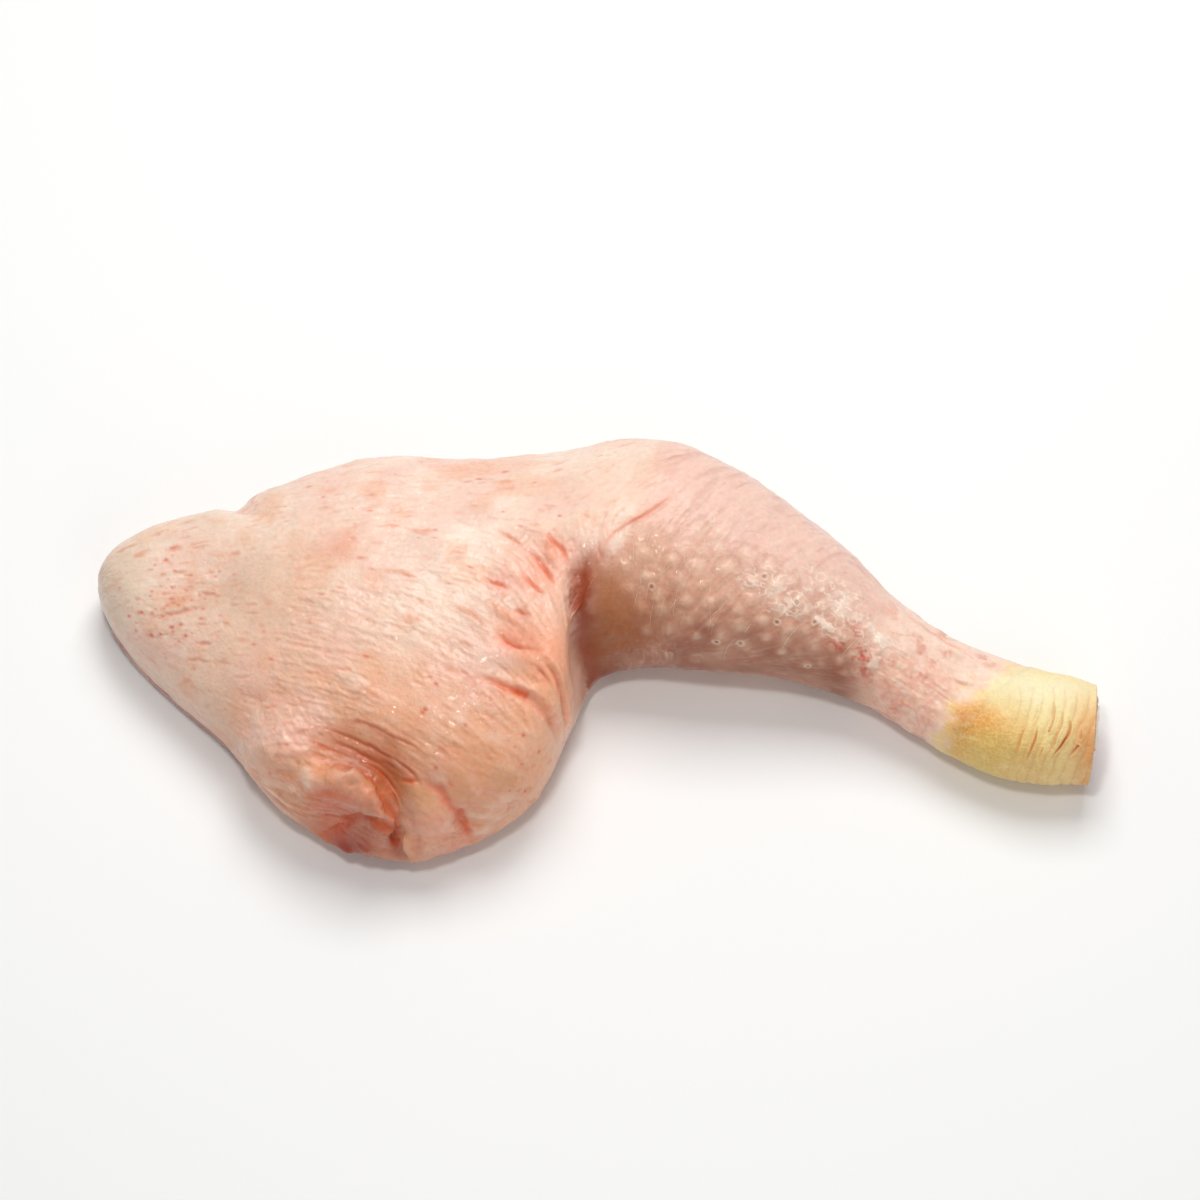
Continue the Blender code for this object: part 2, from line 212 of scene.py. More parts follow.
def fold_lift(plan, fold):
    """How far a fold lifts each point of the plan: its curve, blurred by a bell of its half width."""
    half_width, knots = fold
    curve = curve_through(knots, 6)
    middle = (curve[1:] + curve[:-1]) / 2
    length = np.hypot(*np.diff(curve[:, :2], axis=0).T)
    lift = np.zeros(plan.shape[:-1])
    for (x, y, height), step in zip(middle, length):
        reach = ((plan[..., 0] - x) ** 2 + (plan[..., 1] - y) ** 2) / half_width**2
        lift += height * step / (half_width * math.sqrt(math.pi)) * np.exp(-reach)
    return lift


def facing(points):
    """Outward unit normals of a grid of rings: the way round crossed with the way along."""
    along = np.gradient(points, axis=0)
    around = np.roll(points, -1, axis=1) - np.roll(points, 1, axis=1)
    return unit(np.cross(around, along))


def opening_at(u, gap):
    """The insets of the opening's rims from the near and the far edge as shares of the width, less a
    gap to the meat, the height of the lip, and whether there is an opening."""
    row = section_at(u)
    width = np.hypot(row[..., FAR_X] - row[..., NEAR_X], row[..., FAR_Y] - row[..., NEAR_Y])
    hidden = smooth_step(u - LIP_UNTIL)
    end = 1 - np.sqrt(1 - (1 - (OPEN_LAST - u) / OPEN_END_SECTIONS).clip(0, 1) ** 2)
    near = LIP_INSET + (OPEN_NEAR_INSET - LIP_INSET) * hidden
    near = near + (width / 2 - OPEN_LEAST_WIDTH / 2 - near) * end - gap
    past_tip = smooth_step((u - OPEN_FIRST) / OPEN_TIP_SECTIONS)
    far = OPEN_TIP_INSET + (OPEN_FAR_INSET - OPEN_TIP_INSET) * past_tip
    far = far + (width / 2 - OPEN_LEAST_WIDTH / 2 - far) * end - gap
    near = np.minimum(near, 0.25 * width)
    far = np.minimum(far, 0.45 * width)
    is_open = (u > OPEN_FIRST) & (u < OPEN_LAST)
    lip = LIP_HEIGHT * (1 - hidden) * smooth_step((u - OPEN_FIRST) * 3)
    return near / width, far / width, lip, is_open


def even_rows(first, last, pitch):
    """Values of u from first to last, an even distance apart on the leg's own lines."""
    u = np.linspace(first, last, 4000)
    lines = [upper_side(u, np.full_like(u, turn)) for turn in (0.0, 0.9, 1.6, 2.3, math.pi)]
    step = np.mean([np.linalg.norm(np.diff(line, axis=0), axis=1) for line in lines], axis=0)
    length = np.concatenate([[0], np.cumsum(step)])
    return np.interp(np.linspace(0, length[-1], round(length[-1] / pitch) + 1), length, u)


def even_columns():
    """Angles over the crown from the far to the near edge, an even distance apart on the thigh."""
    fine = np.linspace(0, math.pi, 2001)
    ring = upper_side(np.full_like(fine, 6.0), fine)
    length = length_along(ring)
    return np.interp(np.linspace(0, length[-1], TOP_COLUMNS), length, fine)


skin_rows = even_rows(0.03, SCALES_BEGIN, ROW_PITCH)
rows = np.concatenate([skin_rows, even_rows(SCALES_BEGIN, LAST_SECTION, SCALE_ROW_PITCH)[1:]])
column_angle = even_columns()
top = upper_side(*np.meshgrid(rows, column_angle, indexing="ij"))
near_share, far_share, lip_height, is_open = opening_at(rows, POCKET_GAP)
near_stop, far_stop = 2 * near_share - 1, 1 - 2 * far_share
# the walls go from each edge down to the opening's rim by equal turns of the superellipse
wall_turn = np.linspace(0, 1, WALL_COLUMNS + 1)[None, 1:]
near_turn = wall_turn * np.arccos(np.abs(near_stop) ** (TOP_ROUNDNESS / 2))[:, None]
far_turn = wall_turn[:, ::-1] * np.arccos(np.abs(far_stop) ** (TOP_ROUNDNESS / 2))[:, None]
near_wall = under_side(rows[:, None] + 0 * near_turn, -across_at(near_turn))
far_wall = under_side(rows[:, None] + 0 * far_turn, across_at(far_turn))
near_wall[..., 2] = np.maximum(near_wall[..., 2], lip_height[:, None] * wall_turn)
# then up into the pocket over the meat, across its ceiling and down again
pocket_top = np.where(is_open, POCKET_TOP, 0)[:, None]
rise = np.linspace(0, 1, RISE_COLUMNS + 1)[None, 1:]
near_rise = np.repeat(near_wall[:, -1:], RISE_COLUMNS, axis=1)
near_rise[..., 2] += (np.maximum(pocket_top, near_rise[..., 2]) - near_rise[..., 2]) * rise
far_rise = np.repeat(far_wall[:, :1], RISE_COLUMNS, axis=1)
far_rise[..., 2] += (np.maximum(pocket_top, far_rise[..., 2]) - far_rise[..., 2]) * rise[:, ::-1]
ceiling_share = np.linspace(0, 1, CEILING_COLUMNS + 2)[None, 1:-1]
ceiling_across = near_stop[:, None] + (far_stop - near_stop)[:, None] * ceiling_share
ceiling = under_side(rows[:, None] + 0 * ceiling_across, ceiling_across)
ceiling[..., 2] = np.maximum(ceiling[..., 2], pocket_top)
form = np.concatenate([top, near_wall, near_rise, ceiling, far_rise, far_wall], axis=1)

# how far each column belongs to the upper side, where the folds are, and to the outside at all
pocket_columns = 2 * RISE_COLUMNS + CEILING_COLUMNS
near_over, far_over = -np.sin(near_turn.mean(axis=0)), -np.sin(far_turn.mean(axis=0))
over = np.concatenate([np.sin(column_angle), near_over, np.full(pocket_columns, -1.0), far_over])
upper_share = smooth_step(0.5 + 2.5 * over)
outside = np.ones(form.shape[1])
outside[TOP_COLUMNS + WALL_COLUMNS :][:pocket_columns] = 0
lift = sum(fold_lift(form[..., :2], fold) for fold in FOLDS) * upper_share
# the near corner of the cut end is rounded off
corner = smooth_step((rows[:, None] - CORNER_FROM) / CORNER_SECTIONS) ** 2
lift -= CORNER_DEPTH * corner * smooth_step((CORNER_Y - form[..., 1]) / CORNER_WIDTH)
form = form + facing(form) * lift[..., None]
form[..., 2] = np.maximum(form[..., 2], 0)
outward = facing(form)
u_of = rows[:, None] + 0 * form[..., 0]
x_of, y_of, z_of = form[..., 0], form[..., 1], form[..., 2]

# The skin of the leg, its relief
# Wrinkles that follow the lie of the skin, sharp creases in the folds, plucked follicles on the
# drumstick. All of it moves the surface along its own normal.

LATTICE = np.random.default_rng(7).uniform(-1, 1, (32, 32, 32))


def lumps(points, size, seed=0):
    """Smooth noise from -1 to 1: values at the corners of cubes of one size, blended between them."""
    place = points / size + seed * 7.31
    cell = np.floor(place).astype(int)
    share = smooth_step(place - cell)
    total = 0
    for corner in itertools.product((0, 1), repeat=3):
        weight = np.prod([share[..., k] if corner[k] else 1 - share[..., k] for k in range(3)], axis=0)
        total = total + weight * LATTICE[tuple((cell[..., k] + corner[k]) & 31 for k in range(3))]
    return total


def cells(points, size, seed):
    """Uneven cells through space: each point's distance to its cell's edge as a share of the cells'
    size, and a number from 0 to 1 that is the same all over a cell."""
    place = points / size + seed * 3.7
    cell = np.floor(place).astype(int)
    first = np.full(points.shape[:-1], 9.0)
    second, mark = first.copy(), first * 0
    for shift in itertools.product((-1, 0, 1), repeat=3):
        other = [(cell[..., k] + shift[k]) & 31 for k in range(3)]
        centre = np.stack([LATTICE[other[k], other[k - 1], other[k - 2]] for k in range(3)], axis=-1)
        distance = np.linalg.norm(cell + shift + 0.5 + 0.42 * centre - place, axis=-1)
        second = np.minimum(second, np.maximum(first, distance))
        mark = np.where(distance < first, centre[..., 0] / 2 + 0.5, mark)
        first = np.minimum(first, distance)
    return second - first, mark


# Which way the wrinkles run: a place on the plan and degrees from +X.
STREAKS = np.array(
    [
        (-126, 22, 5), (-118, 4, -8), (-112, 32, 18), (-104, 14, 4), (-96, -20, -14), (-92, 36, 10),
        (-86, 2, -8), (-82, -32, -6), (-70, -46, -20), (-75, 26, 2), (-60, 46, 3), (-60, 0, -18),
        (-56, -20, -26), (-45, -36, -33), (-40, 20, -10), (-35, 46, 4), (-32, -10, -32),
        (-30, -45, -38), (-20, 30, -10), (-14, -6, -40), (-11, -24, -62), (-10, 46, 12),
        (-10, 12, -50), (-4, 16, -76), (-5, 6, -80), (-4, -3, -78), (-2, -12, -78), (3, 14, 84),
        (2, 2, 86), (3, -8, 86), (4, 48, 18), (8, 32, 32), (18, 10, 62), (30, 32, 48), (36, 5, 55),
        (52, 22, 38), (60, 2, 32), (76, 10, -30), (90, -8, -36), (102, -15, -38),
    ]
)


def lie(x, y):
    """The wrinkles' direction at a place: the average of the nearer STREAKS, as a unit vector."""
    cosine = sine = 0
    for streak_x, streak_y, degrees in STREAKS:
        weight = 1 / ((x - streak_x) ** 2 + (y - streak_y) ** 2 + 60) ** 1.5
        cosine = cosine + weight * math.cos(2 * math.radians(degrees))
        sine = sine + weight * math.sin(2 * math.radians(degrees))
    angle = np.arctan2(sine, cosine) / 2
    return np.cos(angle), np.sin(angle)


COMB_STEP = 0.5


def combed(values, steps):
    """Averages values along the lie of the skin, steps of half a millimetre each way, to unit spread."""
    height, width = values.shape
    total = values.copy()
    for way in (1, -1):
        i, j = np.indices(values.shape).astype(float)
        for _ in range(steps):
            at = np.rint(i).astype(int), np.rint(j).astype(int) % width
            i = np.clip(i + way * row_step[at], 0, height - 1.001)
            j = j + way * column_step[at]
            low_i, low_j = np.floor(i).astype(int), np.floor(j).astype(int)
            a, b = i - low_i, j - low_j
            low_j, high_j = low_j % width, (low_j + 1) % width
            total += (1 - a) * ((1 - b) * values[low_i, low_j] + b * values[low_i, high_j])
            total += a * ((1 - b) * values[low_i + 1, low_j] + b * values[low_i + 1, high_j])
    return total / total.std()


# steps of the grid that make one step along the lie of the skin
along = np.gradient(form, axis=0)
around = (np.roll(form, -1, axis=1) - np.roll(form, 1, axis=1)) / 2
lie_x, lie_y = lie(x_of, y_of)
way = np.stack([lie_x, lie_y, 0 * lie_x], axis=-1)
e, f, g = (along * along).sum(-1), (along * around).sum(-1), (around * around).sum(-1)
p, q = (way * along).sum(-1), (way * around).sum(-1)
area = np.maximum(e * g - f * f, 1e-4)
row_step = np.clip(COMB_STEP * (g * p - f * q) / area, -3, 3)
column_step = np.clip(COMB_STEP * (e * q - f * p) / area, -3, 3)

fine_wrinkles = combed(lumps(form, 0.75), 4)
coarse_wrinkles = combed(lumps(form, 2.3, 1), 8)
long_streaks = combed(lumps(form, 1.5, 2), 12)
hair_lines = combed(lumps(form, 0.55, 3), 8)
crinkles = combed(lumps(form, 1.9, 4), 6)
speckle = lumps(form, 0.6, 5)

# where the drumstick and the ankle begin, in sections
KNEE, ANKLE = 9.0, 13.2
on_drumstick = smooth_step((u_of - KNEE - 0.45 * smooth_step((y_of - 8) / 22)) / 0.5 + 0.5)
on_thigh = 1 - on_drumstick
on_ankle = smooth_step((u_of - ANKLE) / 1.2)
on_calf = on_drumstick * (1 - on_ankle)
near_tip = smooth_step((-112 - x_of) / 14)
# how much the skin is wrinkled at a place: less on the tip, most between the hollow and the crook
wrinkled = (0.2 + 0.8 * smooth_step(0.5 + 1.1 * lumps(form, 13, 6))) * (1 - 0.7 * near_tip)
wrinkled *= 1 - 0.5 * smooth_step((-84 - x_of) / 16)
wrinkled *= 1 - 0.6 * smooth_step((y_of - 22) / 12) * smooth_step((x_of + 16) / 12)
crinkle_lines = bell(crinkles / 0.2)
# how far the skin stands out at each point, in millimetres
relief = on_thigh * wrinkled * (0.11 * fine_wrinkles + 0.12 * coarse_wrinkles - 0.11 * crinkle_lines)
relief += on_calf * (0.04 * fine_wrinkles + 0.04 * coarse_wrinkles + 0.08 * lumps(form, 4, 7))
soft_ankle = on_ankle * (1 - smooth_step((u_of - 15.1) / 0.8))
relief += soft_ankle * (0.06 * fine_wrinkles + 0.12 * coarse_wrinkles + 0.2 * lumps(form, 4, 7))
relief += 0.35 * lumps(form, 9, 8) + 0.13 * lumps(form, 3.2, 9) + 0.05 * speckle
# how red the creases are, and how much shade is painted into them as colour, for the colours
red = np.zeros_like(relief)
crease_shade_and_crack_colour = np.zeros_like(relief)


def plan_tree(points, normals):
    """A search tree of the places on the plan of the points that face up, and their indices."""
    upward = np.argwhere(normals[..., 2] > 0.02)
    tree = KDTree(len(upward))
    for number, (x, y, _) in enumerate(points[tuple(upward.T)]):
        tree.insert((x, y, 0), number)
    tree.balance()
    return tree, upward


def nearest(search, x, y):
    """Index of the upper side's point that lies nearest to a place on the plan, and how far off it is."""
    tree, upward = search
    _, number, distance = tree.find((x, y, 0))
    return tuple(upward[number]), distance


def beside(points, search, knots, reach):
    """The surface's points within reach of a curve: their indices, their distance from it (positive to
    the left of the way it runs), and the curve's own height there."""
    path = curve_through(knots, 8)
    spots = [nearest(search, x, y)[0] for x, y, _ in path]
    line = np.array([points[spot] for spot in spots])
    line[:, :2] = path[:, :2]
    # a steep wall gives heights in steps, which are levelled out, more so for a wide curve
    levelled = 5 if reach > 4 else 2
    window = 2 * levelled + 1
    padded = np.pad(line[:, 2], levelled, mode="edge")
    line[:, 2] = np.convolve(padded, np.ones(window) / window, mode="valid")
    ahead = unit(np.gradient(line, axis=0))
    low, high = line.min(axis=0) - reach, line.max(axis=0) + reach
    near = np.nonzero(((points > low) & (points < high)).all(axis=-1))
    offset = points[near][:, None, :] - line[None, :, :]
    closest = np.argmin((offset**2).sum(-1), axis=1)
    offset = offset[np.arange(len(closest)), closest]
    forward = (offset * ahead[closest]).sum(-1)
    inner = (closest > 0) & (closest < len(path) - 1)
    distance = np.sqrt(np.maximum((offset**2).sum(-1) - np.where(inner, forward**2, 0), 0))
    side = np.sign(ahead[closest, 0] * offset[:, 1] - ahead[closest, 1] * offset[:, 0])
    return near, distance * side, path[closest, 2]


skin_search = plan_tree(form, outward)


def crease(knots, half_width, redness=0.0, lip=0.0, shade=0.0):
    """Presses a groove, or raises a ridge, along a curve of places with a height each. lip raises the
    skin to its left beside it, redness colours it red, and shade paints shade into it."""
    near, distance, height = beside(form, skin_search, knots, 5 * half_width + 1)
    spot = form[near]
    distance = distance + 0.5 * half_width * lumps(spot, 2.6, 50) + 0.25 * half_width * lumps(spot, 1.1, 51)
    height = height * (1 + 0.35 * lumps(spot, 3.1, 52))
    relief[near] += height * bell(distance / half_width)
    relief[near] += lip * np.abs(height) * bell((distance - 2 * half_width) / (1.4 * half_width))
    strength = np.minimum(np.abs(height), 1.0) * bell(distance / (1.3 * half_width))
    red[near] = np.maximum(red[near], redness * strength)
    crease_shade_and_crack_colour[near] = np.maximum(crease_shade_and_crack_colour[near], shade * strength)


def band(knots, offset, half_width):
    """A mask along a curve, strongest at an offset to its left, with uneven edges. Knots give strength."""
    mask = np.zeros_like(relief)
    near, distance, height = beside(form, skin_search, knots, abs(offset) + 3 * half_width)
    uneven = distance + 0.3 * half_width * (lumps(form[near], 3, 53) + 0.6 * lumps(form[near], 1.2, 54))
    mask[near] = height * bell((uneven - offset) / half_width)
    return mask


def at_heights(places, heights):
    """Knots of a curve from places on the plan, each with a height or a strength."""
    return [(*place, height) for place, height in zip(places, heights)]


# the crook of the knee, its lip on the thigh's side, with painted shade in the crease
CROOK = ((-2, 21), (-5.2, 13), (-6, 5), (-5.4, 0.5), (-3.6, -3), (-2, -9), (-1.5, -17))
CROOK_DEPTHS = (0, -0.4, -0.9, -0.9, -0.9, -0.7, -0.2)
crease(at_heights(CROOK, CROOK_DEPTHS), 2.0, 0.2, 0, 0.35)
# The creases and ridges placed one by one: half width, redness, lip, painted shade, then the curve.
CREASES = (
    # the rolled flap at the near side of the hip, creases over, under and on it, and the gap at its end
    (2.4, 0, 0, 0, (-77, -42, 0.3), (-73, -41.6, 1.4), (-68.5, -41.6, 2.2), (-63, -43, 2.8),
     (-58, -46.7, 3.0), (-54, -51.8, 2.4)),
    (1.0, 0.8, 0.3, 0.2, (-76, -33.5, 0), (-70.7, -36.7, -0.3), (-65.4, -38.4, -0.6), (-60.2, -41.3, -0.8),
     (-56, -46.3, -0.9), (-53, -50, -0.9)),
    (1.1, 1.0, 0.2, 0.15, (-79, -50, -0.2), (-73.4, -50, -0.9), (-67, -49, -1.2), (-60.4, -49.2, -1.3),
     (-55, -51.4, -1.2)),
    (1.4, 0.8, 0, 0, (-75, -43.5, 0), (-70, -44.8, -0.5), (-64, -45, 0)),
    (2.6, 0, 0, 0, (-76, -52, 0.6), (-69, -53, 1.3), (-61, -53.6, 1.5), (-55, -55, 0.8)),
    (3.2, 0, 0, 0, (-56, -43, 0), (-52, -47, 0.8), (-49, -52, 1.5), (-48.5, -58, 1.0)),
    (1.0, 1.4, 0, 0.7, (-54, -50.2, -0.4), (-53.2, -51.6, -1.4), (-52.7, -52.8, -1.2), (-52.4, -53.8, -0.2)),
    (1.2, 0, 0, 0, (-50, -52.2, 0.6), (-49.2, -53.4, 1.8), (-48.4, -54.6, 0.8)),
    (0.8, 0.5, 0.2, 0.1, (-47.6, -51, -0.2), (-46.6, -53.6, -0.5), (-46.4, -56, -0.2)),
    # the mound over the flap
    (3.2, 0, 0, 0, (-90, -34, 0), (-84, -33.5, 1.2), (-77, -35.5, 1.0), (-71, -38, 0)),
    # the red furrow at the near side
    (1.1, 1.5, 0.3, 0.1, (-46, -42.2, 0), (-41.5, -44.4, -0.5), (-38, -46.6, -0.6), (-34.5, -49.4, -0.6),
     (-31.5, -52, -0.3)),
    (0.5, 1.8, 0.2, 0.3, (-51.6, -41.4, 0), (-48.6, -42.4, -0.5), (-45.5, -42.4, 0)),
    # the gouge and the thin fold beside the crook
    (0.8, 1.2, 0.3, 0, (-30.5, -17.8, -0.2), (-26, -19.2, -0.6), (-22.3, -20.8, -0.8), (-18.6, -22, -0.9)),
    (1.3, 0.5, 0.25, 0, (-21, -21.2, -0.4), (-16.9, -23.2, -1.4), (-12.9, -25.8, -1.3), (-9.3, -27.4, -0.3)),
    (0.6, 0, 0, 0, (-13.7, -12.6, 0), (-9.9, -16.6, 0.7), (-7.6, -21.4, 0.8), (-6.6, -26, 0.3)),
    (0.6, 0.9, 0, 0, (-14.7, -14, 0), (-11, -17.8, -0.7), (-8.8, -22, -0.7), (-7.8, -26, 0)),
    # the step at the hip's far edge, and the short wrinkles in the hollow
    (1.0, 0.5, 0.4, 0, (-97.5, 42, -0.1), (-95.7, 37.5, -0.3), (-93, 36, -0.4), (-90.5, 34.2, -0.3),
     (-87.3, 32.2, 0)),
    (0.6, 0.35, 0.3, 0, (-117.8, 6.2, 0), (-110.4, 6.5, -0.6), (-102.3, 7.9, 0)),
    (0.6, 0.5, 0.3, 0, (-106.5, 11.1, 0), (-103, 11, -0.5), (-100.1, 10.2, 0)),
    (0.6, 0.3, 0.3, 0, (-112, 9.5, 0), (-106, 13.5, -0.4), (-98, 14.5, 0)),
    # the tendons of the ankle
    (1.5, 0, 0, 0, (76, 9, 0), (83, 4.8, 0.5), (93.3, -2.5, 0.9), (101, -7, 0.3)),
    (0.7, 0.8, 0.3, 0, (80, 8, 0), (86, 3.6, -0.5), (94, -1, -0.6), (100, -4.5, 0)),
    (0.5, 0.2, 0.5, 0, (92, -10.5, 0), (95.5, -12.2, -0.5), (99.5, -13.6, 0)),
)
for half_width, redness, lip, shade, *knots in CREASES:
    crease(knots, half_width, redness, lip, shade)
# the streaks over the flap
STREAK_KNOTS = (
    ((-72.2, -28.3), (-65.9, -30.3), (-59.9, -33.2), (-54.7, -36), (-49.4, -38.8)),
    ((-70, -31.5), (-64, -33.6), (-58, -37), (-54, -39.5)),
    ((-66, -27.2), (-60, -28.4), (-52, -32.5), (-46, -36)),
    ((-62, -36.4), (-57.4, -39), (-53.4, -42.6), (-50.6, -46)),
    ((-56, -41.5), (-53.2, -44.6), (-51.6, -48)),
    ((-52, -37.6), (-48.4, -40.4), (-45.8, -43.8)),
    ((-76, -31), (-71, -33.2), (-66.4, -34.6)),
)
for places in STREAK_KNOTS:
    depths = [-0.4 * math.sin(math.pi * (k + 0.2) / (len(places) - 0.6)) for k in range(len(places))]
    crease(at_heights(places, depths), 0.5, 1.4, 0.3, 0.25)
# the gathers that fan out from the crook
GATHERS = (
    ((-26.5, -3.6), (-24.5, -6.8), (-22, -9.3), (-18.3, -10.6), (-13.7, -12)),
    ((-22.6, 0.6), (-20, -0.4), (-17, -1.8)),
    ((-18.6, 18.6), (-16.2, 16), (-13.8, 12.4), (-11.9, 9.4), (-10.4, 7.4)),
    ((-14, 23.4), (-12, 20.6), (-9.4, 18), (-8.2, 15), (-7.4, 12.4)),
    ((-20.6, 12.6), (-18.4, 9.4), (-15.6, 6.2), (-13.4, 4.6)),
    ((-27, 25), (-22.5, 22), (-19.6, 19)),
    ((-31, 10), (-26, 8.6), (-22.5, 6.2)),
    ((-18, -14.5), (-14.6, -17), (-12, -20.5)),
)
for places in GATHERS:
    count = len(places)
    swell = np.array([math.sin(math.pi * (k + 0.05) / (count - 0.9)) for k in range(count)])
    crease(at_heights(places, -0.45 * swell), 0.5, 2.2, 0.3)
    crease(at_heights(places, -0.8 * swell), 2.4, 0.25, 0.4)
# where the thicker skin of the thigh ends on the knee
LAP = ((24.9, 44.3), (21.4, 37), (18.7, 31.7), (12.7, 26.7), (5.8, 22.7), (2.2, 18.9), (-0.4, 14.3))
LAP_DEPTHS = (0, 0, -0.1, -0.2, -0.16, -0.08, 0)
crease(at_heights(LAP, LAP_DEPTHS), 0.35, 3.0, -1.2)


def wander(x, y, length, sag):
    """Knots of a short curve that starts at a place and follows the lie of the skin."""
    count = max(4, int(length / 1.6))
    knots = []
    for k in range(count):
        knots.append((x, y, sag * math.sin(math.pi * k / (count - 1))))
        step_x, step_y = lie(x, y)
        x, y = x + length / (count - 1) * float(step_x), y + length / (count - 1) * float(step_y)
    return knots


WRINKLES = 300
thigh_rows = np.nonzero(rows < 8.4)[0]
for _ in range(WRINKLES):
    start = form[chance.choice(thigh_rows), chance.integers(20, TOP_COLUMNS - 12)]
    depth = -chance.uniform(0.08, 0.3) * (1 - 0.6 * smooth_step((-112 - start[0]) / 14))
    knots = wander(start[0], start[1], chance.uniform(2, 6), depth)
    half_width, redness = chance.uniform(0.3, 0.5), chance.uniform(0.3, 1.5)
    if knots[-1][0] < -13 or knots[-1][1] > 26:
        crease(knots, half_width, redness, 0.4)

# Follicles on the drumstick: soft white domes in slanting rows, a few of them open pores.
FOLLICLE_PITCH = 7.0
follicle = np.zeros_like(relief)
pore = np.zeros_like(relief)
dome_ring_mauve_and_shade = np.zeros_like(relief)


def dots(centre, radius, reach=3):
    """The points near a spot of the surface, and their distance from it as a share of its radius."""
    near = np.nonzero((np.abs(form - centre) < reach * radius).all(axis=-1))
    return near, np.linalg.norm(form[near] - centre, axis=-1) / radius


axis_length = length_along(form[:, TOP_COLUMNS // 2])
knee_length, net_length = np.interp((9.2, 14.6), rows, axis_length)
for k in range(15):
    for m in range(-1, 10):
        along_leg = knee_length + FOLLICLE_PITCH * (k + 0.35 * m) - 14 + chance.normal(0, 0.8)
        turn = math.pi * (0.40 + 0.068 * m) + chance.normal(0, 0.04)
        if along_leg < knee_length or along_leg > net_length or turn > 0.93 * math.pi:
            continue
        i = int(np.interp(along_leg, axis_length, np.arange(len(rows))))
        j = int(np.interp(turn, column_angle, np.arange(TOP_COLUMNS)))
        size = chance.uniform(1.3, 2.1)
        near, distance = dots(form[i, j], size)
        distance = distance * (1 + 0.35 * lumps(form[near], 1.6, 63))
        strength = smooth_step((turn / math.pi - 0.40) / 0.22) * chance.uniform(0.5, 1.1)
        relief[near] += 0.6 * strength * bell(distance)
        follicle[near] = np.maximum(follicle[near], strength * bell(distance / 0.85))
        # a darker ring round each dome's foot: partly the mauve skin between domes, partly painted shade
        dome_ring_mauve_and_shade[near] = np.maximum(dome_ring_mauve_and_shade[near], strength * bell((distance - 1.9) / 0.8))

PORES = (
    (14.2, 8.1), (31, -2.6), (37.4, -2.8), (52.1, 5.1), (55.5, -6.4),
    (18.6, -5), (47, 0.5), (43.5, 11), (57, 1),
)
pore_mouth = np.zeros_like(relief)
for x, y in PORES:
    spot, _ = nearest(skin_search, x, y)
    near, distance = dots(form[spot], 1.0)
    distance = distance * (1 + 0.25 * lumps(form[near], 1.1, 64))
    ring = bell((distance - 0.8) / 0.28)
    relief[near] += 0.2 * ring - 0.2 * bell(distance / 0.4)
    pore[near] = np.maximum(pore[near], ring)
    pore_mouth[near] = np.maximum(pore_mouth[near], bell(distance / 0.45))

# scurf of torn film on the drumstick, thin curly lines that are thick enough for white crusts in
# places: ovals, each a place on the plan, half its length and width, and its turn in degrees
SCURF = (
    (60.5, 0.6, 5, 2.4, -35), (74.4, -2.4, 4.4, 2.2, -20), (48.6, 4.3, 5, 2.2, 10), (52.1, 5.1, 4, 3, 0),
    (62, 8, 11, 5, -32), (44, 10, 7, 4, 0), (68, 3, 8, 4, -30),
)
CRUSTS = (
    (60.5, 0.6, 3.6, 1.5, -35), (74.4, -2.4, 2.8, 1.2, -20), (72, -7.6, 2.6, 1.1, 30), (50, 4.6, 1.8, 1.0, 0),
    (66, 5, 2.2, 0.9, -30),
)


def turned(dx, dy, degrees):
    """Offsets on the plan as distances along and across a way that is given in degrees from +X."""
    turn = math.radians(degrees)
    return dx * math.cos(turn) + dy * math.sin(turn), dy * math.cos(turn) - dx * math.sin(turn)


def ragged(ovals):
    """How far inside the nearest of some uneven ovals each point is: 1 at a middle, 0 at an edge."""
    inside = np.full_like(relief, -9.0)
    uneven_x, uneven_y = x_of + 1.2 * lumps(form, 2.5, 55), y_of + 1.2 * lumps(form, 2.5, 56)
    for x, y, long, short, degrees in ovals:
        a, b = turned(uneven_x - x, uneven_y - y, degrees)
        inside = np.maximum(inside, 1 - np.hypot(a / long, b / short))
    return inside


scurf = smooth_step(ragged(SCURF) + 0.5) * upper_share
crust = smooth_step((ragged(CRUSTS) + 0.35 * lumps(form, 1.1, 59)) / 0.35) * upper_share
curls = bell((lumps(form, 1.7, 57) + 0.4 * lumps(form, 0.8, 58)) / 0.12)
relief += scurf * (0.12 * curls + 0.06 * lumps(form, 1.0, 59)) + 0.2 * crust
# the net of pale ovals over the near side of the ankle
net = smooth_step((14 - np.hypot((x_of - 82) / 1.1, y_of + 16)) / 8)
net = net * on_ankle * (1 - smooth_step((u_of - 15.2) / 0.5))
oval_part = np.s_[np.searchsorted(rows, 13.0) : np.searchsorted(rows, 16.0)]
oval_edge = np.zeros_like(relief)
oval_edge[oval_part] = cells(form[oval_part], 2.3, 2)[0]
net_lines = net * smooth_step(1 - oval_edge / 0.3)
relief -= 0.05 * net_lines

# The scales of the shank, their relief
# Small hard scales with grooves between them, which fade out into the soft skin of the ankle, and
# on the cut end's near side the cracks where this thick skin bends.

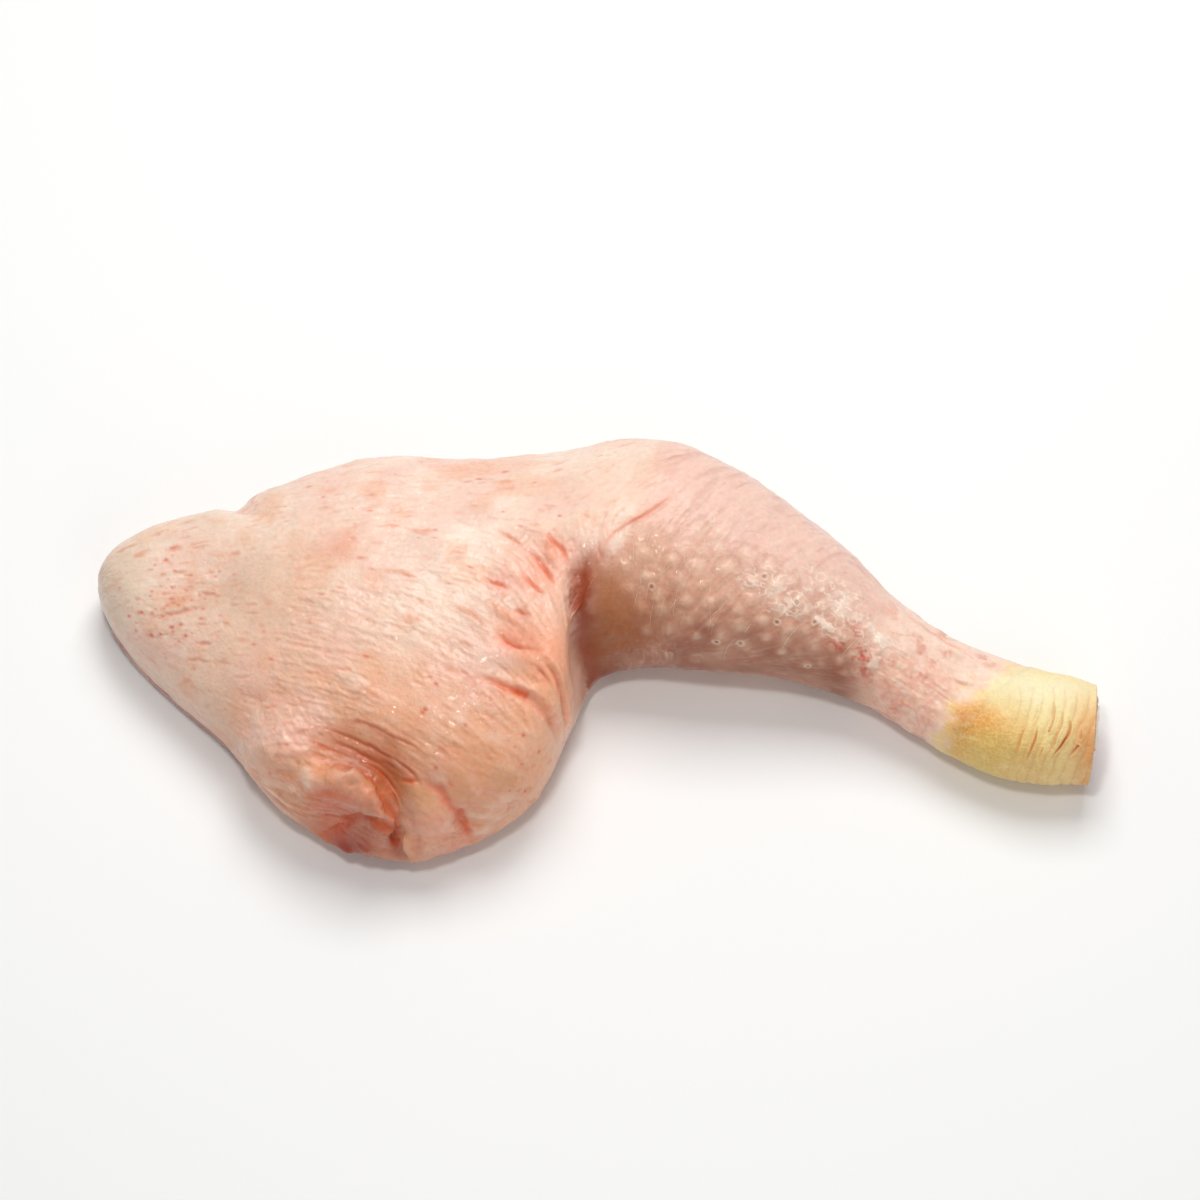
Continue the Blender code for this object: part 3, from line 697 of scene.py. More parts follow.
SCALE_SIZE = 1.3
CRACKS = (
    ((119.2, -16.8, 0), (119.5, -20.4, -0.3), (118.9, -23.8, -0.5), (117.4, -27.5, -0.9)),
    ((121.7, -20.8, 0), (121.4, -24.1, -0.4), (120.1, -27.2, -0.5), (118, -32, -0.1)),
    ((123.4, -22.6, -0.1), (123.6, -25.4, -0.6), (122.4, -28, -0.9), (120.4, -30.4, -0.8),
     (119, -32, -0.1)),
    ((126.4, -25.4, 0), (126.4, -27.6, -0.6), (125.4, -29.8, -0.9), (124, -31.6, -0.2)),
    ((114.9, -24.8, -0.1), (114.6, -27.5, -0.6), (113.2, -30.4, -0.7), (112, -32.6, 0)),
    ((111.9, -22.9, 0), (110.3, -28.5, -0.35), (108.8, -32, 0)),
    ((116.4, -29.6, 0), (116, -30.8, -0.5), (115, -32.4, 0)),
    ((115.6, -18.5, 0), (114.9, -21.2, -0.2), (113.7, -23.8, 0)),
)
on_shank = smooth_step((u_of - 15.35 + 0.35 * lumps(form, 3, 20) + 0.12 * lumps(form, 0.9, 21)) / 0.8)
scale_part = np.s_[np.searchsorted(rows, 15.2) :]
groove, scale_mark = np.zeros_like(relief), np.zeros_like(relief)
groove[scale_part], scale_mark[scale_part] = cells(form[scale_part], SCALE_SIZE, 1)
groove = smooth_step(1 - groove / 0.22) * on_shank
bare = smooth_step((x_of - 119 + 2 * lumps(form, 3, 22)) / 8)  # the scales are worn smooth towards the cut
relief -= groove * (0.08 - 0.05 * bare)
# folds across the shank, about 3 mm apart, bowed towards the foot
FOLD_PITCH = 3.0
lean = y_of + 15
folds_across = (x_of - 0.15 * lean + 0.011 * lean**2 * (lean < 0) + 0.7 * lumps(form, 4, 24)) / FOLD_PITCH
folded_part = on_shank * smooth_step((x_of - 103) / 10) * smooth_step((-11 - y_of) / 9)
fold_valley = bell(np.sin(math.pi * folds_across) / 0.28) * folded_part
relief -= 0.12 * fold_valley
relief -= 0.09 * folded_part * np.cos(2 * math.pi * folds_across)
relief += on_shank * (0.04 * scale_mark + 0.12 * lumps(form, 2.6, 23))
for crack in CRACKS:
    # the cracks, with shade painted into them as well as pressed
    crease(crack, 0.24, lip=0.6, shade=1.2)

# crumpled spots of wet film, which glint
GLINTS = (
    (-70, 3), (-80, -24), (-83, -28.5), (-38, -9.5), (-7, -24), (-34, -22), (-66, -25.5), (-14, 14),
    (-92, -29), (-58, -47), (-30, 18), (-50, 4), (-25, 3), (-88, -22), (-62, 6), (-44, -16), (-20, 22),
)
glint = np.zeros_like(relief)
for x, y in GLINTS:
    distance = np.hypot((x_of - x) / 5, (y_of - y) / 2.6)
    glint = np.maximum(glint, bell(distance) * upper_share)
relief += glint * (0.2 * lumps(form, 1.3, 61) + 0.14 * lumps(form, 0.7, 62))

# nothing swells much past the near side's outline
NEAR_SWELL, NEAR_LIMIT_Y = 1.1, -56.0
relief = np.minimum(relief, NEAR_SWELL + 0.35 * np.maximum(y_of - NEAR_LIMIT_Y, 0))
relief *= outside * smooth_step(z_of / 2.5)
skin = form + outward * relief[..., None]
skin[..., 2] = np.maximum(skin[..., 2], 0)
# in the crook, where the folds meet on a steep wall, the surface is evened out
crook_part = np.s_[np.searchsorted(rows, 7.8) : np.searchsorted(rows, 9.8), : TOP_COLUMNS + WALL_COLUMNS]
crook_x, crook_y = x_of[crook_part], y_of[crook_part]
evened = 0.8 * np.exp(-(((crook_x + 5) / 5) ** 2 + ((crook_y - 3) / 9) ** 2))[1:-1, 1:-1, None]
crook_skin = skin[crook_part]
EVENING_PASSES = 20
for _ in range(EVENING_PASSES):
    around_it = crook_skin[:-2, 1:-1] + crook_skin[2:, 1:-1] + crook_skin[1:-1, :-2] + crook_skin[1:-1, 2:]
    crook_skin[1:-1, 1:-1] += evened * (around_it / 4 - crook_skin[1:-1, 1:-1])

# The skin of the leg, its colours and finish
# Cream pink fat under clear skin, tan and orange towards the near side, red in the folds and pricked
# with red on the hip. The drumstick's skin has less fat under it, so the mauve flesh shows through.
# Painted shade darkens the folds, the thigh's near side, the drumstick's low side and the crook, where
# a painted shadow lies; the drumstick's top is paler with painted light.


def paint(red_part, green_part, blue_part):
    """A colour given as on a screen, 0 to 255, as linear light."""
    value = np.array((red_part, green_part, blue_part)) / 255
    return np.where(value < 0.04045, value / 12.92, ((value + 0.055) / 1.055) ** 2.4)


CREAM = paint(247, 222, 203)
PINK = paint(243, 196, 180)
# tan of the thigh's near side: partly the fat's colour, partly painted shade
SHADED_TAN = paint(224, 160, 122)
ORANGE = paint(216, 124, 78)
ROSE = paint(228, 134, 106)
BLOOD = paint(200, 70, 48)
# brown of the shaded underside below the crook: painted shade
CROOK_UNDERSIDE_SHADE = paint(154, 106, 74)
WAX = paint(226, 206, 182)
GREY = paint(196, 181, 167)
MAUVE = paint(230, 180, 152)
WHITE_FAT = paint(248, 228, 210)
YELLOW = paint(246, 219, 154)

tint = np.empty(form.shape)
tint[:] = CREAM


def stain(colours, mask, colour):
    """Blends a colour into an array of colours by a mask from 0 to 1."""
    colours += np.clip(mask, 0, 1)[..., None] * (colour - colours)


def dye(mask, colour):
    """Blends a colour into the tint of the leg's skin by a mask from 0 to 1."""
    stain(tint, mask, colour)


def patch_at(x, y, long, short, degrees=0, side=upper_share):
    """A soft oval patch on the upper side, or on the side given, with a wavering edge."""
    a, b = turned(x_of - x + 1.5 * waver, y_of - y + 1.5 * waver_across, degrees)
    return np.exp(-((a / long) ** 2 + (b / short) ** 2)) * side


waver, waver_across = lumps(form, 6, 11), lumps(form, 6, 12)
blotch = lumps(form, 11, 13) + 0.5 * lumps(form, 5, 14)
fine_blotch = lumps(form, 2.4, 18) + 0.6 * lumps(form, 1.2, 19)
# the fat of the thigh: cream above, tan and orange towards the near side, in streaks; the tan is partly the
# fat's own colour and partly painted shade on the side turned from the light
near_side_tan_and_shade = smooth_step((20 - y_of + 5 * waver) / 58) * (0.45 + 0.55 * smooth_step((x_of + 112) / 34))
dye(0.95 * near_side_tan_and_shade * on_thigh, SHADED_TAN)
dye(0.55 * smooth_step(0.45 + 0.8 * blotch), PINK)
dye(0.45 * smooth_step(0.5 * long_streaks) * near_side_tan_and_shade * on_thigh, ORANGE)
dye(0.35 * smooth_step(0.35 * long_streaks - 0.1) * on_thigh, PINK)
dye(0.50 * smooth_step(0.4 * coarse_wrinkles) * on_thigh, CREAM)
dye(0.35 * smooth_step(0.5 * fine_blotch) * on_thigh, CREAM)
dye((0.14 + 0.3 * near_side_tan_and_shade) * crinkle_lines * on_thigh * wrinkled, ORANGE)
dye(0.3 * smooth_step(-0.5 * fine_wrinkles - 0.35) * on_thigh, ROSE)
dye(0.35 * smooth_step(1.8 * lumps(form, 7, 69) - 0.1) * on_thigh, paint(240, 172, 132))
dye(0.3 * smooth_step(1.8 * lumps(form, 9, 70) - 0.3) * on_thigh, paint(220, 192, 172))
# the drumstick: thin skin, pale above, mauve and brown below where the flesh shows through; the pale top is
# partly painted light and the brown below partly painted shade, as the light falls from above
dye(on_drumstick * 0.95, MAUVE)
pale_and_lit_high_side = smooth_step((y_of - 2 + 0.45 * (x_of - 34) + 3 * waver) / 26)
dye(on_drumstick * 0.9 * pale_and_lit_high_side, paint(241, 202, 187))
low_side_flesh_and_shade = smooth_step((8 - y_of - 0.12 * (x_of - 20) + 3 * waver) / 16) * on_drumstick
# dark brown on the low side: painted shade over the flesh that shows through
dye(low_side_flesh_and_shade * (1 - on_ankle) * 0.97, paint(130, 62, 22))
flesh_streaks = smooth_step(0.5 * long_streaks - 0.1) * (1 - 0.5 * smooth_step(y_of / 20))
dye(on_calf * 0.4 * flesh_streaks, paint(176, 96, 80))
pale_hairs = 0.35 * smooth_step(0.8 * hair_lines - 0.7) + 0.2 * smooth_step(fine_blotch)
dye(on_drumstick * pale_hairs * (1 - 0.85 * low_side_flesh_and_shade), paint(246, 218, 198))
dye(on_drumstick * 0.3 * smooth_step(-0.8 * hair_lines - 0.9), paint(180, 104, 76))
# the darker ring round the domes: mauve skin and painted shade
dye(0.28 * dome_ring_mauve_and_shade, paint(170, 86, 58))
dye(0.42 * follicle, paint(244, 212, 186))
dye(0.6 * pore, paint(246, 220, 196))
dye(0.6 * pore_mouth, paint(140, 84, 60))
# the ankle
dye(on_ankle * 0.9, paint(250, 214, 192))
dye(on_ankle * 0.5 * smooth_step(0.9 * fine_blotch - 0.2 + 0.5 * blotch), ROSE)
dye(on_ankle * 0.5 * smooth_step(0.8 * lumps(form, 2.6, 15)), WHITE_FAT)
dye(on_ankle * 0.6 * smooth_step((y_of + 10 + 2 * waver) / 9), paint(248, 216, 198))
dye(on_ankle * 0.45 * smooth_step(1.6 * lumps(form, 3.4, 68) + 0.5 * speckle - 0.3), paint(210, 100, 74))
dye(net * 0.3 * smooth_step(0.8 + fine_blotch), paint(226, 140, 112))
dye(net * smooth_step(oval_edge / 0.35 - 0.6) * 0.3, paint(248, 218, 198))
dye(0.14 * net_lines, paint(206, 98, 70))

# the hip: a waxy tip, a grey hollow, and mottling
dye(0.75 * patch_at(-127, 19, 9, 13), WAX)
dye(0.7 * patch_at(-98, 12, 10, 6, 15), GREY)
dye(0.4 * patch_at(-86, 4, 12, 5, -10), GREY)
pale_streaks = smooth_step(0.6 * long_streaks + lumps(form, 4, 66))
dye(0.5 * pale_streaks * patch_at(-108, 12, 24, 28), paint(240, 226, 206))
mottle_here = smooth_step(0.4 + 1.4 * lumps(form, 6, 67))
dye(0.5 * smooth_step(0.9 * coarse_wrinkles - 0.9) * mottle_here * on_thigh, paint(222, 138, 96))
warm_blotches = smooth_step(fine_blotch + 0.3 * long_streaks - 0.2)
dye(0.4 * warm_blotches * patch_at(-98, 6, 26, 24), paint(228, 152, 112))
dye(0.55 * patch_at(-88, 8, 24, 22), paint(226, 178, 146))
# the flap, its red and brown hollows, whose darkness is partly painted shade, and the red furrow
dye(0.55 * patch_at(-83, -28, 13, 5), paint(248, 206, 188))
# the lower lobe under the flap, deep red: partly its own colour, partly painted shade under the flap
dye(0.92 * patch_at(-67, -52, 12, 4.5, -8, outside), paint(157, 34, 10))
dye(0.5 * patch_at(-69, -46.5, 7, 2.2, 0, outside), paint(212, 96, 60))
# brown in the groove above the flap and at its end: partly the skin's colour, partly painted shade
dye(0.85 * patch_at(-59, -37.5, 15, 4.5, -26), paint(166, 78, 30))
dye(0.6 * patch_at(-16, -33, 14, 9, 30, outside), paint(255, 194, 156))
dye(0.75 * patch_at(-54, -43, 5, 8, 25), paint(172, 88, 42))
# the gap at the flap's end: a painted dark shade
dye(0.85 * patch_at(-53, -53, 2.2, 3.4, 10, outside), paint(140, 36, 18))
dye(0.3 * patch_at(-36, -53, 10, 4, -14, outside), paint(236, 140, 124))
dye(0.5 * patch_at(-45, -46.6, 5, 3, -30), paint(214, 164, 106))
dye(0.4 * patch_at(-49.2, -53, 1.6, 1.4), paint(246, 190, 146))
dye(0.35 * patch_at(-46, -22, 14, 8, -30), paint(236, 180, 138))
# the thigh beside the crook and the top of the knee, a spot lightened as painted light, and in the crook and
# under the thigh's lobe a painted brown shadow
dye(0.6 * patch_at(-11, -14, 8, 15, 20), paint(244, 162, 128))
dye(0.5 * patch_at(-14, 13, 12, 12, 30), paint(244, 158, 124))
dye(0.5 * patch_at(-20, -8, 8, 5, -30), paint(240, 150, 112))
dye(0.6 * patch_at(-15, -24.6, 4.5, 1.8, -34), paint(222, 196, 184))
dye(0.45 * patch_at(-25, -41, 4.5, 2.6, -20), paint(206, 146, 92))
dye(0.35 * patch_at(-67, 22, 8, 6), ROSE)
dye(0.35 * patch_at(2, 36, 18, 13), paint(250, 200, 174))
# a lighter spot on the lobe beside the crook: painted light where its surface turns away from the lamps
dye(0.6 * patch_at(-10, -23, 9, 9), paint(254, 192, 152))
crook_shadow = band(at_heights(CROOK, np.ones(len(CROOK))), 2.2, 3.4)
# painted shade on the drumstick's side of the crook
dye(0.8 * patch_at(1, 9, 5, 7), paint(176, 108, 62))
# the painted shadow that the thigh's lobe casts beside the crook
dye(0.95 * crook_shadow * smooth_step((22 - y_of) / 12), paint(146, 54, 8))
dye(0.75 * patch_at(5, 1, 9, 11, 100) * on_drumstick, paint(170, 96, 44))
# painted shade on the underside below the crook
dye(0.8 * patch_at(1, -9, 6, 9) * on_drumstick, CROOK_UNDERSIDE_SHADE)
LAP_STRENGTHS = (0, 0.1, 0.5, 1, 1, 0.8, 0.3)
lap_edge = band(at_heights(LAP, LAP_STRENGTHS), -0.6, 1.0)
dye(0.3 * lap_edge, paint(240, 148, 112))
# blood blotches and the white film low on the drumstick
ragged_edge = smooth_step(0.3 + 1.2 * fine_blotch + 0.9 * speckle)
for x, y, size in ((66.8, -2.6, 3), (63.5, -3.4, 2), (70.3, -7.9, 2.2), (68.5, -5.2, 1.6)):
    dye(0.75 * patch_at(x, y, size * 1.5, size, 30) * ragged_edge, BLOOD)
dye(scurf * (0.1 + 0.7 * curls), paint(252, 232, 212))
dye(0.5 * smooth_step(1.7 * scurf - 0.9) * smooth_step(1.6 * lumps(form, 2.6, 60)), paint(252, 234, 216))
dye(0.65 * crust, paint(255, 230, 212))
dye(0.75 * red, paint(226, 98, 52))
# painted shade in the creases and grooves, darkest in the deep ones
dye(0.7 * crease_shade_and_crack_colour, paint(116, 50, 28))

# specks of blood under the skin, the plain ones placed, the others drawn out along its lie, and
# nearly half of these in the hollow of the hip
SPECKS = 210
SHARE_IN_HOLLOW = 0.45
PLAIN_SPECKS = (
    (-120.3, 8.3), (-124, 8.5), (-108.4, 0.2), (-114.3, 21.7), (-115.6, 2.1), (-112.4, 3), (-118, 2.4),
    (-23, -42.7), (-20.8, -41.8), (-19.1, -41), (-23, -44.5), (-15.3, -33.5), (-19.5, -31.5), (-41.8, -19.2),
    (-45.6, -26.5), (-44.4, -25.8), (-34.3, -30), (-41.8, -39.9),
)
for k in range(SPECKS):
    if k < len(PLAIN_SPECKS):
        x, y = PLAIN_SPECKS[k]
    elif chance.random() < SHARE_IN_HOLLOW:
        x, y = chance.normal(-112, 8), chance.normal(7, 6)
    else:
        x, y = chance.uniform(-120, -10), chance.uniform(-45, 48)
    size, stretch, strength = chance.uniform(0.22, 0.5), chance.uniform(1, 3.2), chance.uniform(0.12, 0.7)
    if k < len(PLAIN_SPECKS):
        size, stretch, strength = 0.45, 1.4, 0.85
    elif x < -95:
        stretch = min(stretch, 1.8)
    spot, miss = nearest(skin_search, x, y)
    if miss > 1:
        continue
    near, _ = dots(form[spot], 2.0, 1.5)
    away = form[near] - form[spot]
    lengthwise = away[:, 0] * lie_x[spot] + away[:, 1] * lie_y[spot]
    sideways = np.maximum((away**2).sum(-1) - lengthwise**2, 0)
    distance = np.sqrt(sideways + (lengthwise / stretch) ** 2) / size
    distance = distance * (1 + 0.35 * lumps(form[near], 0.8, 65))
    tint[near] += (strength * bell(distance))[:, None] * (paint(216, 84, 52) - tint[near])

# the yellow of the shank, orange where it is thick, whitish where it is dry, brown in the cracks and fold
# valleys, partly their own colour and partly painted shade
dye(0.97 * on_shank, YELLOW)
dye(0.35 * on_shank * scale_mark, paint(248, 226, 168))
dye(0.8 * on_shank * patch_at(100, -21, 11, 7, -30), paint(236, 142, 14))
dye(0.75 * on_shank * patch_at(95.5, -23, 3, 5, -30, outside), paint(214, 118, 34))
dye(0.7 * on_shank * patch_at(104, -30, 13, 6, -12, outside), paint(214, 178, 90))
dye(0.6 * on_shank * patch_at(106, -9, 8, 5, -10), paint(250, 232, 190))
dye(0.7 * on_shank * patch_at(101, -7.5, 4, 2, -30), paint(248, 236, 222))
dye(0.85 * on_shank * patch_at(118, -13, 13, 7, -10), paint(252, 238, 204))
dye(0.8 * on_shank * patch_at(129, -30, 5, 10, 0, outside), paint(222, 142, 82))
dye(0.4 * on_shank * patch_at(116, -33, 9, 5, -6, outside), paint(222, 170, 108))
dye(0.35 * on_shank * groove * (1 - 0.7 * bare), paint(252, 228, 150))
# orange-brown in the fold valleys: partly their own colour, partly painted shade
dye(0.3 * fold_valley, paint(210, 140, 76))
dye(0.3 * on_shank * smooth_step(fine_blotch - 0.1), paint(252, 232, 180))
# brown in the cracks: partly their own colour, partly painted shade
dye(0.9 * on_shank * crease_shade_and_crack_colour, paint(206, 100, 40))
# how wet each point is: most in the red folds, on the flap and on the crumpled film
wet = 0.35 + 0.45 * smooth_step(0.8 * lumps(form, 7, 17)) + 0.5 * red
wet = wet + 0.5 * patch_at(-66, -46, 18, 10) + glint
wet = wet - 0.2 * on_shank - 0.25 * on_drumstick - 0.35 * patch_at(8, 28, 16, 12)


def ring_faces(points, closed=(), looped=False):
    """Four-cornered faces between the rings of a grid, and fans that close its "start" or "end" ring
    on a point that is added for it. looped joins the last ring to the first. Returns the vertices and
    a list of faces."""
    height, width = points.shape[:2]
    vertices = points.reshape(-1, 3)
    index = np.arange(height * width).reshape(height, width)
    after = np.roll(index, -1, axis=0) if looped else index[1:]
    before = index if looped else index[:-1]
    turned = np.roll(before, -1, axis=1), np.roll(after, -1, axis=1)
    faces = [np.stack([before, turned[0], turned[1], after], axis=-1).reshape(-1, 4)]
    for side, ring in (("start", index[0]), ("end", index[-1, ::-1])):
        if side in closed:
            hub = np.full_like(ring, len(vertices))
            vertices = np.vstack([vertices, vertices[ring].mean(axis=0)])
            faces.append(np.stack([hub, np.roll(ring, -1), ring], axis=-1))
    return vertices, faces


def new_piece(name, vertices, faces, normals=None):
    """An object at the origin from vertices in millimetres and arrays of faces, shaded smooth."""
    corners = np.concatenate([part.ravel() for part in faces])
    counts = np.concatenate([np.full(len(part), part.shape[1]) for part in faces])
    mesh = bpy.data.meshes.new(name)
    mesh.vertices.add(len(vertices))
    mesh.loops.add(len(corners))
    mesh.polygons.add(len(counts))
    placed = (vertices - (MIDDLE_X, MIDDLE_Y, 0)) * MM
    mesh.vertices.foreach_set("co", placed.astype(np.float32).ravel())
    mesh.loops.foreach_set("vertex_index", corners.astype(np.int32))
    mesh.polygons.foreach_set("loop_start", (np.cumsum(counts) - counts).astype(np.int32))
    mesh.update(calc_edges=True)
    mesh.shade_smooth()
    if normals is not None:
        missing = np.repeat(normals[-1:], len(vertices) - len(normals), axis=0)
        mesh.normals_split_custom_set_from_vertices(np.vstack([normals, missing]).astype(np.float32))
    piece = bpy.data.objects.new(name, mesh)
    bpy.context.scene.collection.objects.link(piece)
    return piece


def give(piece, tint_values, wet_values):
    """Stores the painted tint and the wetness of each vertex. Points that close an end repeat the last."""
    count = len(piece.data.vertices)
    colours = np.ones((count, 4))
    colours[: tint_values.size // 3, :3] = tint_values.reshape(-1, 3)
    colours[tint_values.size // 3 :, :3] = tint_values.reshape(-1, 3)[-1]
    film = np.full(count, 0.5)
    film[: wet_values.size] = wet_values.ravel()
    made = piece.data.color_attributes.new("tint", "FLOAT_COLOR", "POINT")
    made.data.foreach_set("color", colours.astype(np.float32).ravel())
    made = piece.data.attributes.new("wet", "FLOAT", "POINT")
    made.data.foreach_set("value", film.astype(np.float32))


def node(material, kind, inputs=None, **settings):
    """A shader node with its settings and its inputs, each a value or another node's output."""
    made = material.node_tree.nodes.new(kind)
    for name, value in settings.items():
        setattr(made, name, value)
    for name, value in (inputs or {}).items():
        if isinstance(value, bpy.types.NodeSocket):
            material.node_tree.links.new(value, made.inputs[name])
        else:
            made.inputs[name].default_value = value
    return made


def shader_of(name, **values):
    """A new material and its Principled BSDF, with plain values set on the sockets."""
    material = bpy.data.materials.new(name)
    material.use_nodes = True
    shader = material.node_tree.nodes["Principled BSDF"]
    for key, value in values.items():
        shader.inputs[key.replace("_", " ")].default_value = value
    return material, shader


def flesh_finish(name, scale, depth, gloss, spread, **values):
    """Material of moist tissue: the painted tint with fine mottling, a wet film, and a fine pebbled bump.

    scale is the bump's lumps to a metre, depth its height, gloss the roughness where it is wet and
    where it is dry, and spread how far the mottling brightens and darkens the tint.
    """
    material, shader = shader_of(name, **values)
    link = material.node_tree.links.new
    where = node(material, "ShaderNodeTexCoord").outputs["Object"]
    tint_of = node(material, "ShaderNodeAttribute", attribute_name="tint").outputs["Color"]
    wet_of = node(material, "ShaderNodeAttribute", attribute_name="wet").outputs["Fac"]

    def noise(**sockets):
        """The output of a noise texture over the piece."""
        return node(material, "ShaderNodeTexNoise", {"Vector": where, **sockets}).outputs["Fac"]

    def spread_over(value, low, high, bottom, top):
        """A value from low to high, spread over bottom to top."""
        limits = {"From Min": low, "From Max": high, "To Min": bottom, "To Max": top}
        return node(material, "ShaderNodeMapRange", {"Value": value, **limits}).outputs["Result"]

    mottle = noise(Scale=700.0, Detail=4.0, Roughness=0.6)
    shade = spread_over(mottle, 0.3, 0.7, 1 - spread, 1 + spread)
    colour = node(material, "ShaderNodeVectorMath", {0: tint_of, 1: shade}, operation="MULTIPLY")
    link(colour.outputs["Vector"], shader.inputs["Base Color"])
    film = noise(Scale=260.0, Detail=3.0)
    wetness = node(material, "ShaderNodeMath", {0: film, 1: wet_of}, operation="MULTIPLY")
    rough = spread_over(wetness.outputs["Value"], 0.05, 0.6, gloss[1], gloss[0])
    link(rough, shader.inputs["Roughness"])
    grain = noise(Scale=scale, Detail=5.0, Roughness=0.55)
    bump = node(material, "ShaderNodeBump", {"Height": grain, "Strength": 0.6, "Distance": depth})
    link(bump.outputs["Normal"], shader.inputs["Normal"])
    return material


skin_material = flesh_finish(
    "moist_skin", 1500.0, 0.00025, (0.14, 0.46), 0.06,
    Subsurface_Weight=0.35, Subsurface_Radius=(1.0, 0.40, 0.22), Subsurface_Scale=0.0014,
    IOR=1.36, Specular_IOR_Level=0.35, Coat_Weight=0.35, Coat_Roughness=0.05, Coat_IOR=1.36,
)
skin_normals = facing(skin)
# the three lengths of the one skin, each small enough to keep its full detail
HIP_ENDS = 4.0
hip_end, thigh_end, scales_start = np.searchsorted(rows, (HIP_ENDS, KNEE, SCALES_BEGIN))
for name, part, closed in (
    ("skin_of_hip", slice(0, hip_end + 1), ("start",)),
    ("skin_of_thigh", slice(hip_end, thigh_end + 1), ()),
    ("skin_of_drumstick", slice(thigh_end, scales_start + 1), ("end",)),
):
    piece = new_piece(name, *ring_faces(skin[part], closed), skin_normals[part].reshape(-1, 3))
    give(piece, tint[part], wet[part])
    piece.data.materials.append(skin_material)
    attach(piece, "root")
    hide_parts("skin_covered_leg")

# The scaled skin of the shank
# The thick scaled skin over the joint and the stub of shank, a sleeve that was chopped straight
# through with the bone. Outside it is the leg's own surface, and a blunt rim leads to its inner side.

SLEEVE_WALL_SHARE = 0.13
RIM = ((0.012, 0.10), (0.04, 0.22), (0.08, 0.26), (0.12, 0.12))  # share of the way in, millimetres proud
INNER_RINGS = 8


def drawn_in(ring, share):
    """A ring moved towards its own middle by a share of the way."""
    return ring + (ring.mean(axis=-2, keepdims=True) - ring) * share


cut_ring = skin[-1]
cut_way = form[-1].mean(axis=0) - form[-4].mean(axis=0)
cut_way /= np.linalg.norm(cut_way)
rim = np.array([drawn_in(cut_ring, share) + cut_way * proud for share, proud in RIM])
inner_rows = np.linspace(len(rows) - 1, scales_start + 2, INNER_RINGS).astype(int)
sleeve = np.concatenate([skin[scales_start:], rim, drawn_in(form[inner_rows], SLEEVE_WALL_SHARE)])
sleeve_normals = facing(sleeve)
sleeve_normals[: len(rows) - scales_start - 1] = skin_normals[scales_start:-1]
INNER_SKIN = paint(214, 150, 124)
inside_colour = np.broadcast_to(INNER_SKIN, (len(RIM) + INNER_RINGS, sleeve.shape[1], 3))
rim_tint = tint[-1] + (INNER_SKIN - tint[-1]) * 0.6
sleeve_tint = np.concatenate([tint[scales_start:], inside_colour])
sleeve_tint[len(rows) - scales_start] = rim_tint
sleeve_wet = np.full(sleeve.shape[:2], 0.7)
sleeve_wet[: len(rows) - scales_start] = wet[scales_start:]

scale_material = flesh_finish(
    "waxy_scales", 1500.0, 0.0002, (0.28, 0.50), 0.04,
    Subsurface_Weight=0.22, Subsurface_Radius=(1.0, 0.55, 0.22), Subsurface_Scale=0.0025,
    IOR=1.45, Specular_IOR_Level=0.3, Coat_Weight=0.08, Coat_Roughness=0.2, Coat_IOR=1.4,
)
piece = new_piece("shank_scales", *ring_faces(sleeve, looped=True), sleeve_normals.reshape(-1, 3))
give(piece, sleeve_tint, sleeve_wet)
piece.data.materials.append(scale_material)
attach(piece, "root")
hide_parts("scaled_shank")

# The cut end of the shank
# What the chop left bare inside the scaled skin: the bone with its marrow, the round white tendons
# behind it, and pink tissue between them. Its face stands a little out of the skin.

CORE_SHARE = 0.155
FACE_RINGS = 34
FACE_PROUD = 0.8
BONE = (1.0, 1.5, 6.2, 4.8)  # across and up from the middle, half width and half height
MARROW = (1.0, 1.7, 3.2, 2.3)
TENDONS = (
    (-5.6, -4.0, 1.7), (-2.0, -5.4, 1.5), (1.8, -5.6, 1.6),
    (5.6, -3.6, 1.4), (-7.8, 0.4, 1.2), (7.8, 0.6, 1.1),
)


def oval(across, up, place):
    """Distance from an oval's middle as a share of its radius, with a slightly uneven edge."""
    reach = np.hypot((across - place[0]) / place[2], (up - place[1]) / place[-1])
    return reach * (1 + 0.08 * np.sin(3 * np.arctan2(up - place[1], across - place[0]) + place[0]))


core_rows = np.linspace(scales_start + 3, len(rows) - 1, 10).astype(int)
core_side = drawn_in(form[core_rows, ::2], CORE_SHARE)
share_in = np.linspace(0.03, 0.97, FACE_RINGS)[:, None, None]
face = drawn_in(core_side[-1], share_in)
offset = face - core_side[-1].mean(axis=0)
side_way = np.cross(cut_way, (0, 0, 1))
face_across, face_up = offset @ side_way, offset[..., 2]
bone, marrow = oval(face_across, face_up, BONE), oval(face_across, face_up, MARROW)
height = FACE_PROUD * smooth_step(share_in[..., 0] * 5) * (0.75 + 0.2 * lumps(face, 1.6, 30))
height = height + 0.5 * smooth_step((1.08 - bone) / 0.16) - 1.1 * smooth_step((1.05 - marrow) / 0.2)
face_tint = np.empty(face.shape)
face_tint[:] = paint(206, 124, 108)
stain(face_tint, smooth_step(0.5 + lumps(face, 1.4, 31)), paint(226, 166, 146))
stain(face_tint, smooth_step((1.05 - bone) / 0.1), paint(240, 222, 198))
stain(face_tint, smooth_step((1.0 - marrow) / 0.15), paint(140, 44, 34))
for place in TENDONS:
    tendon = oval(face_across, face_up, place)
    height = height + 0.35 * smooth_step((1.1 - tendon) / 0.4)
    stain(face_tint, smooth_step((1.05 - tendon) / 0.2), paint(236, 220, 208))
face = face + cut_way * height[..., None]
core = np.concatenate([core_side, face])
side_tint = np.broadcast_to(paint(206, 140, 122), core_side.shape)
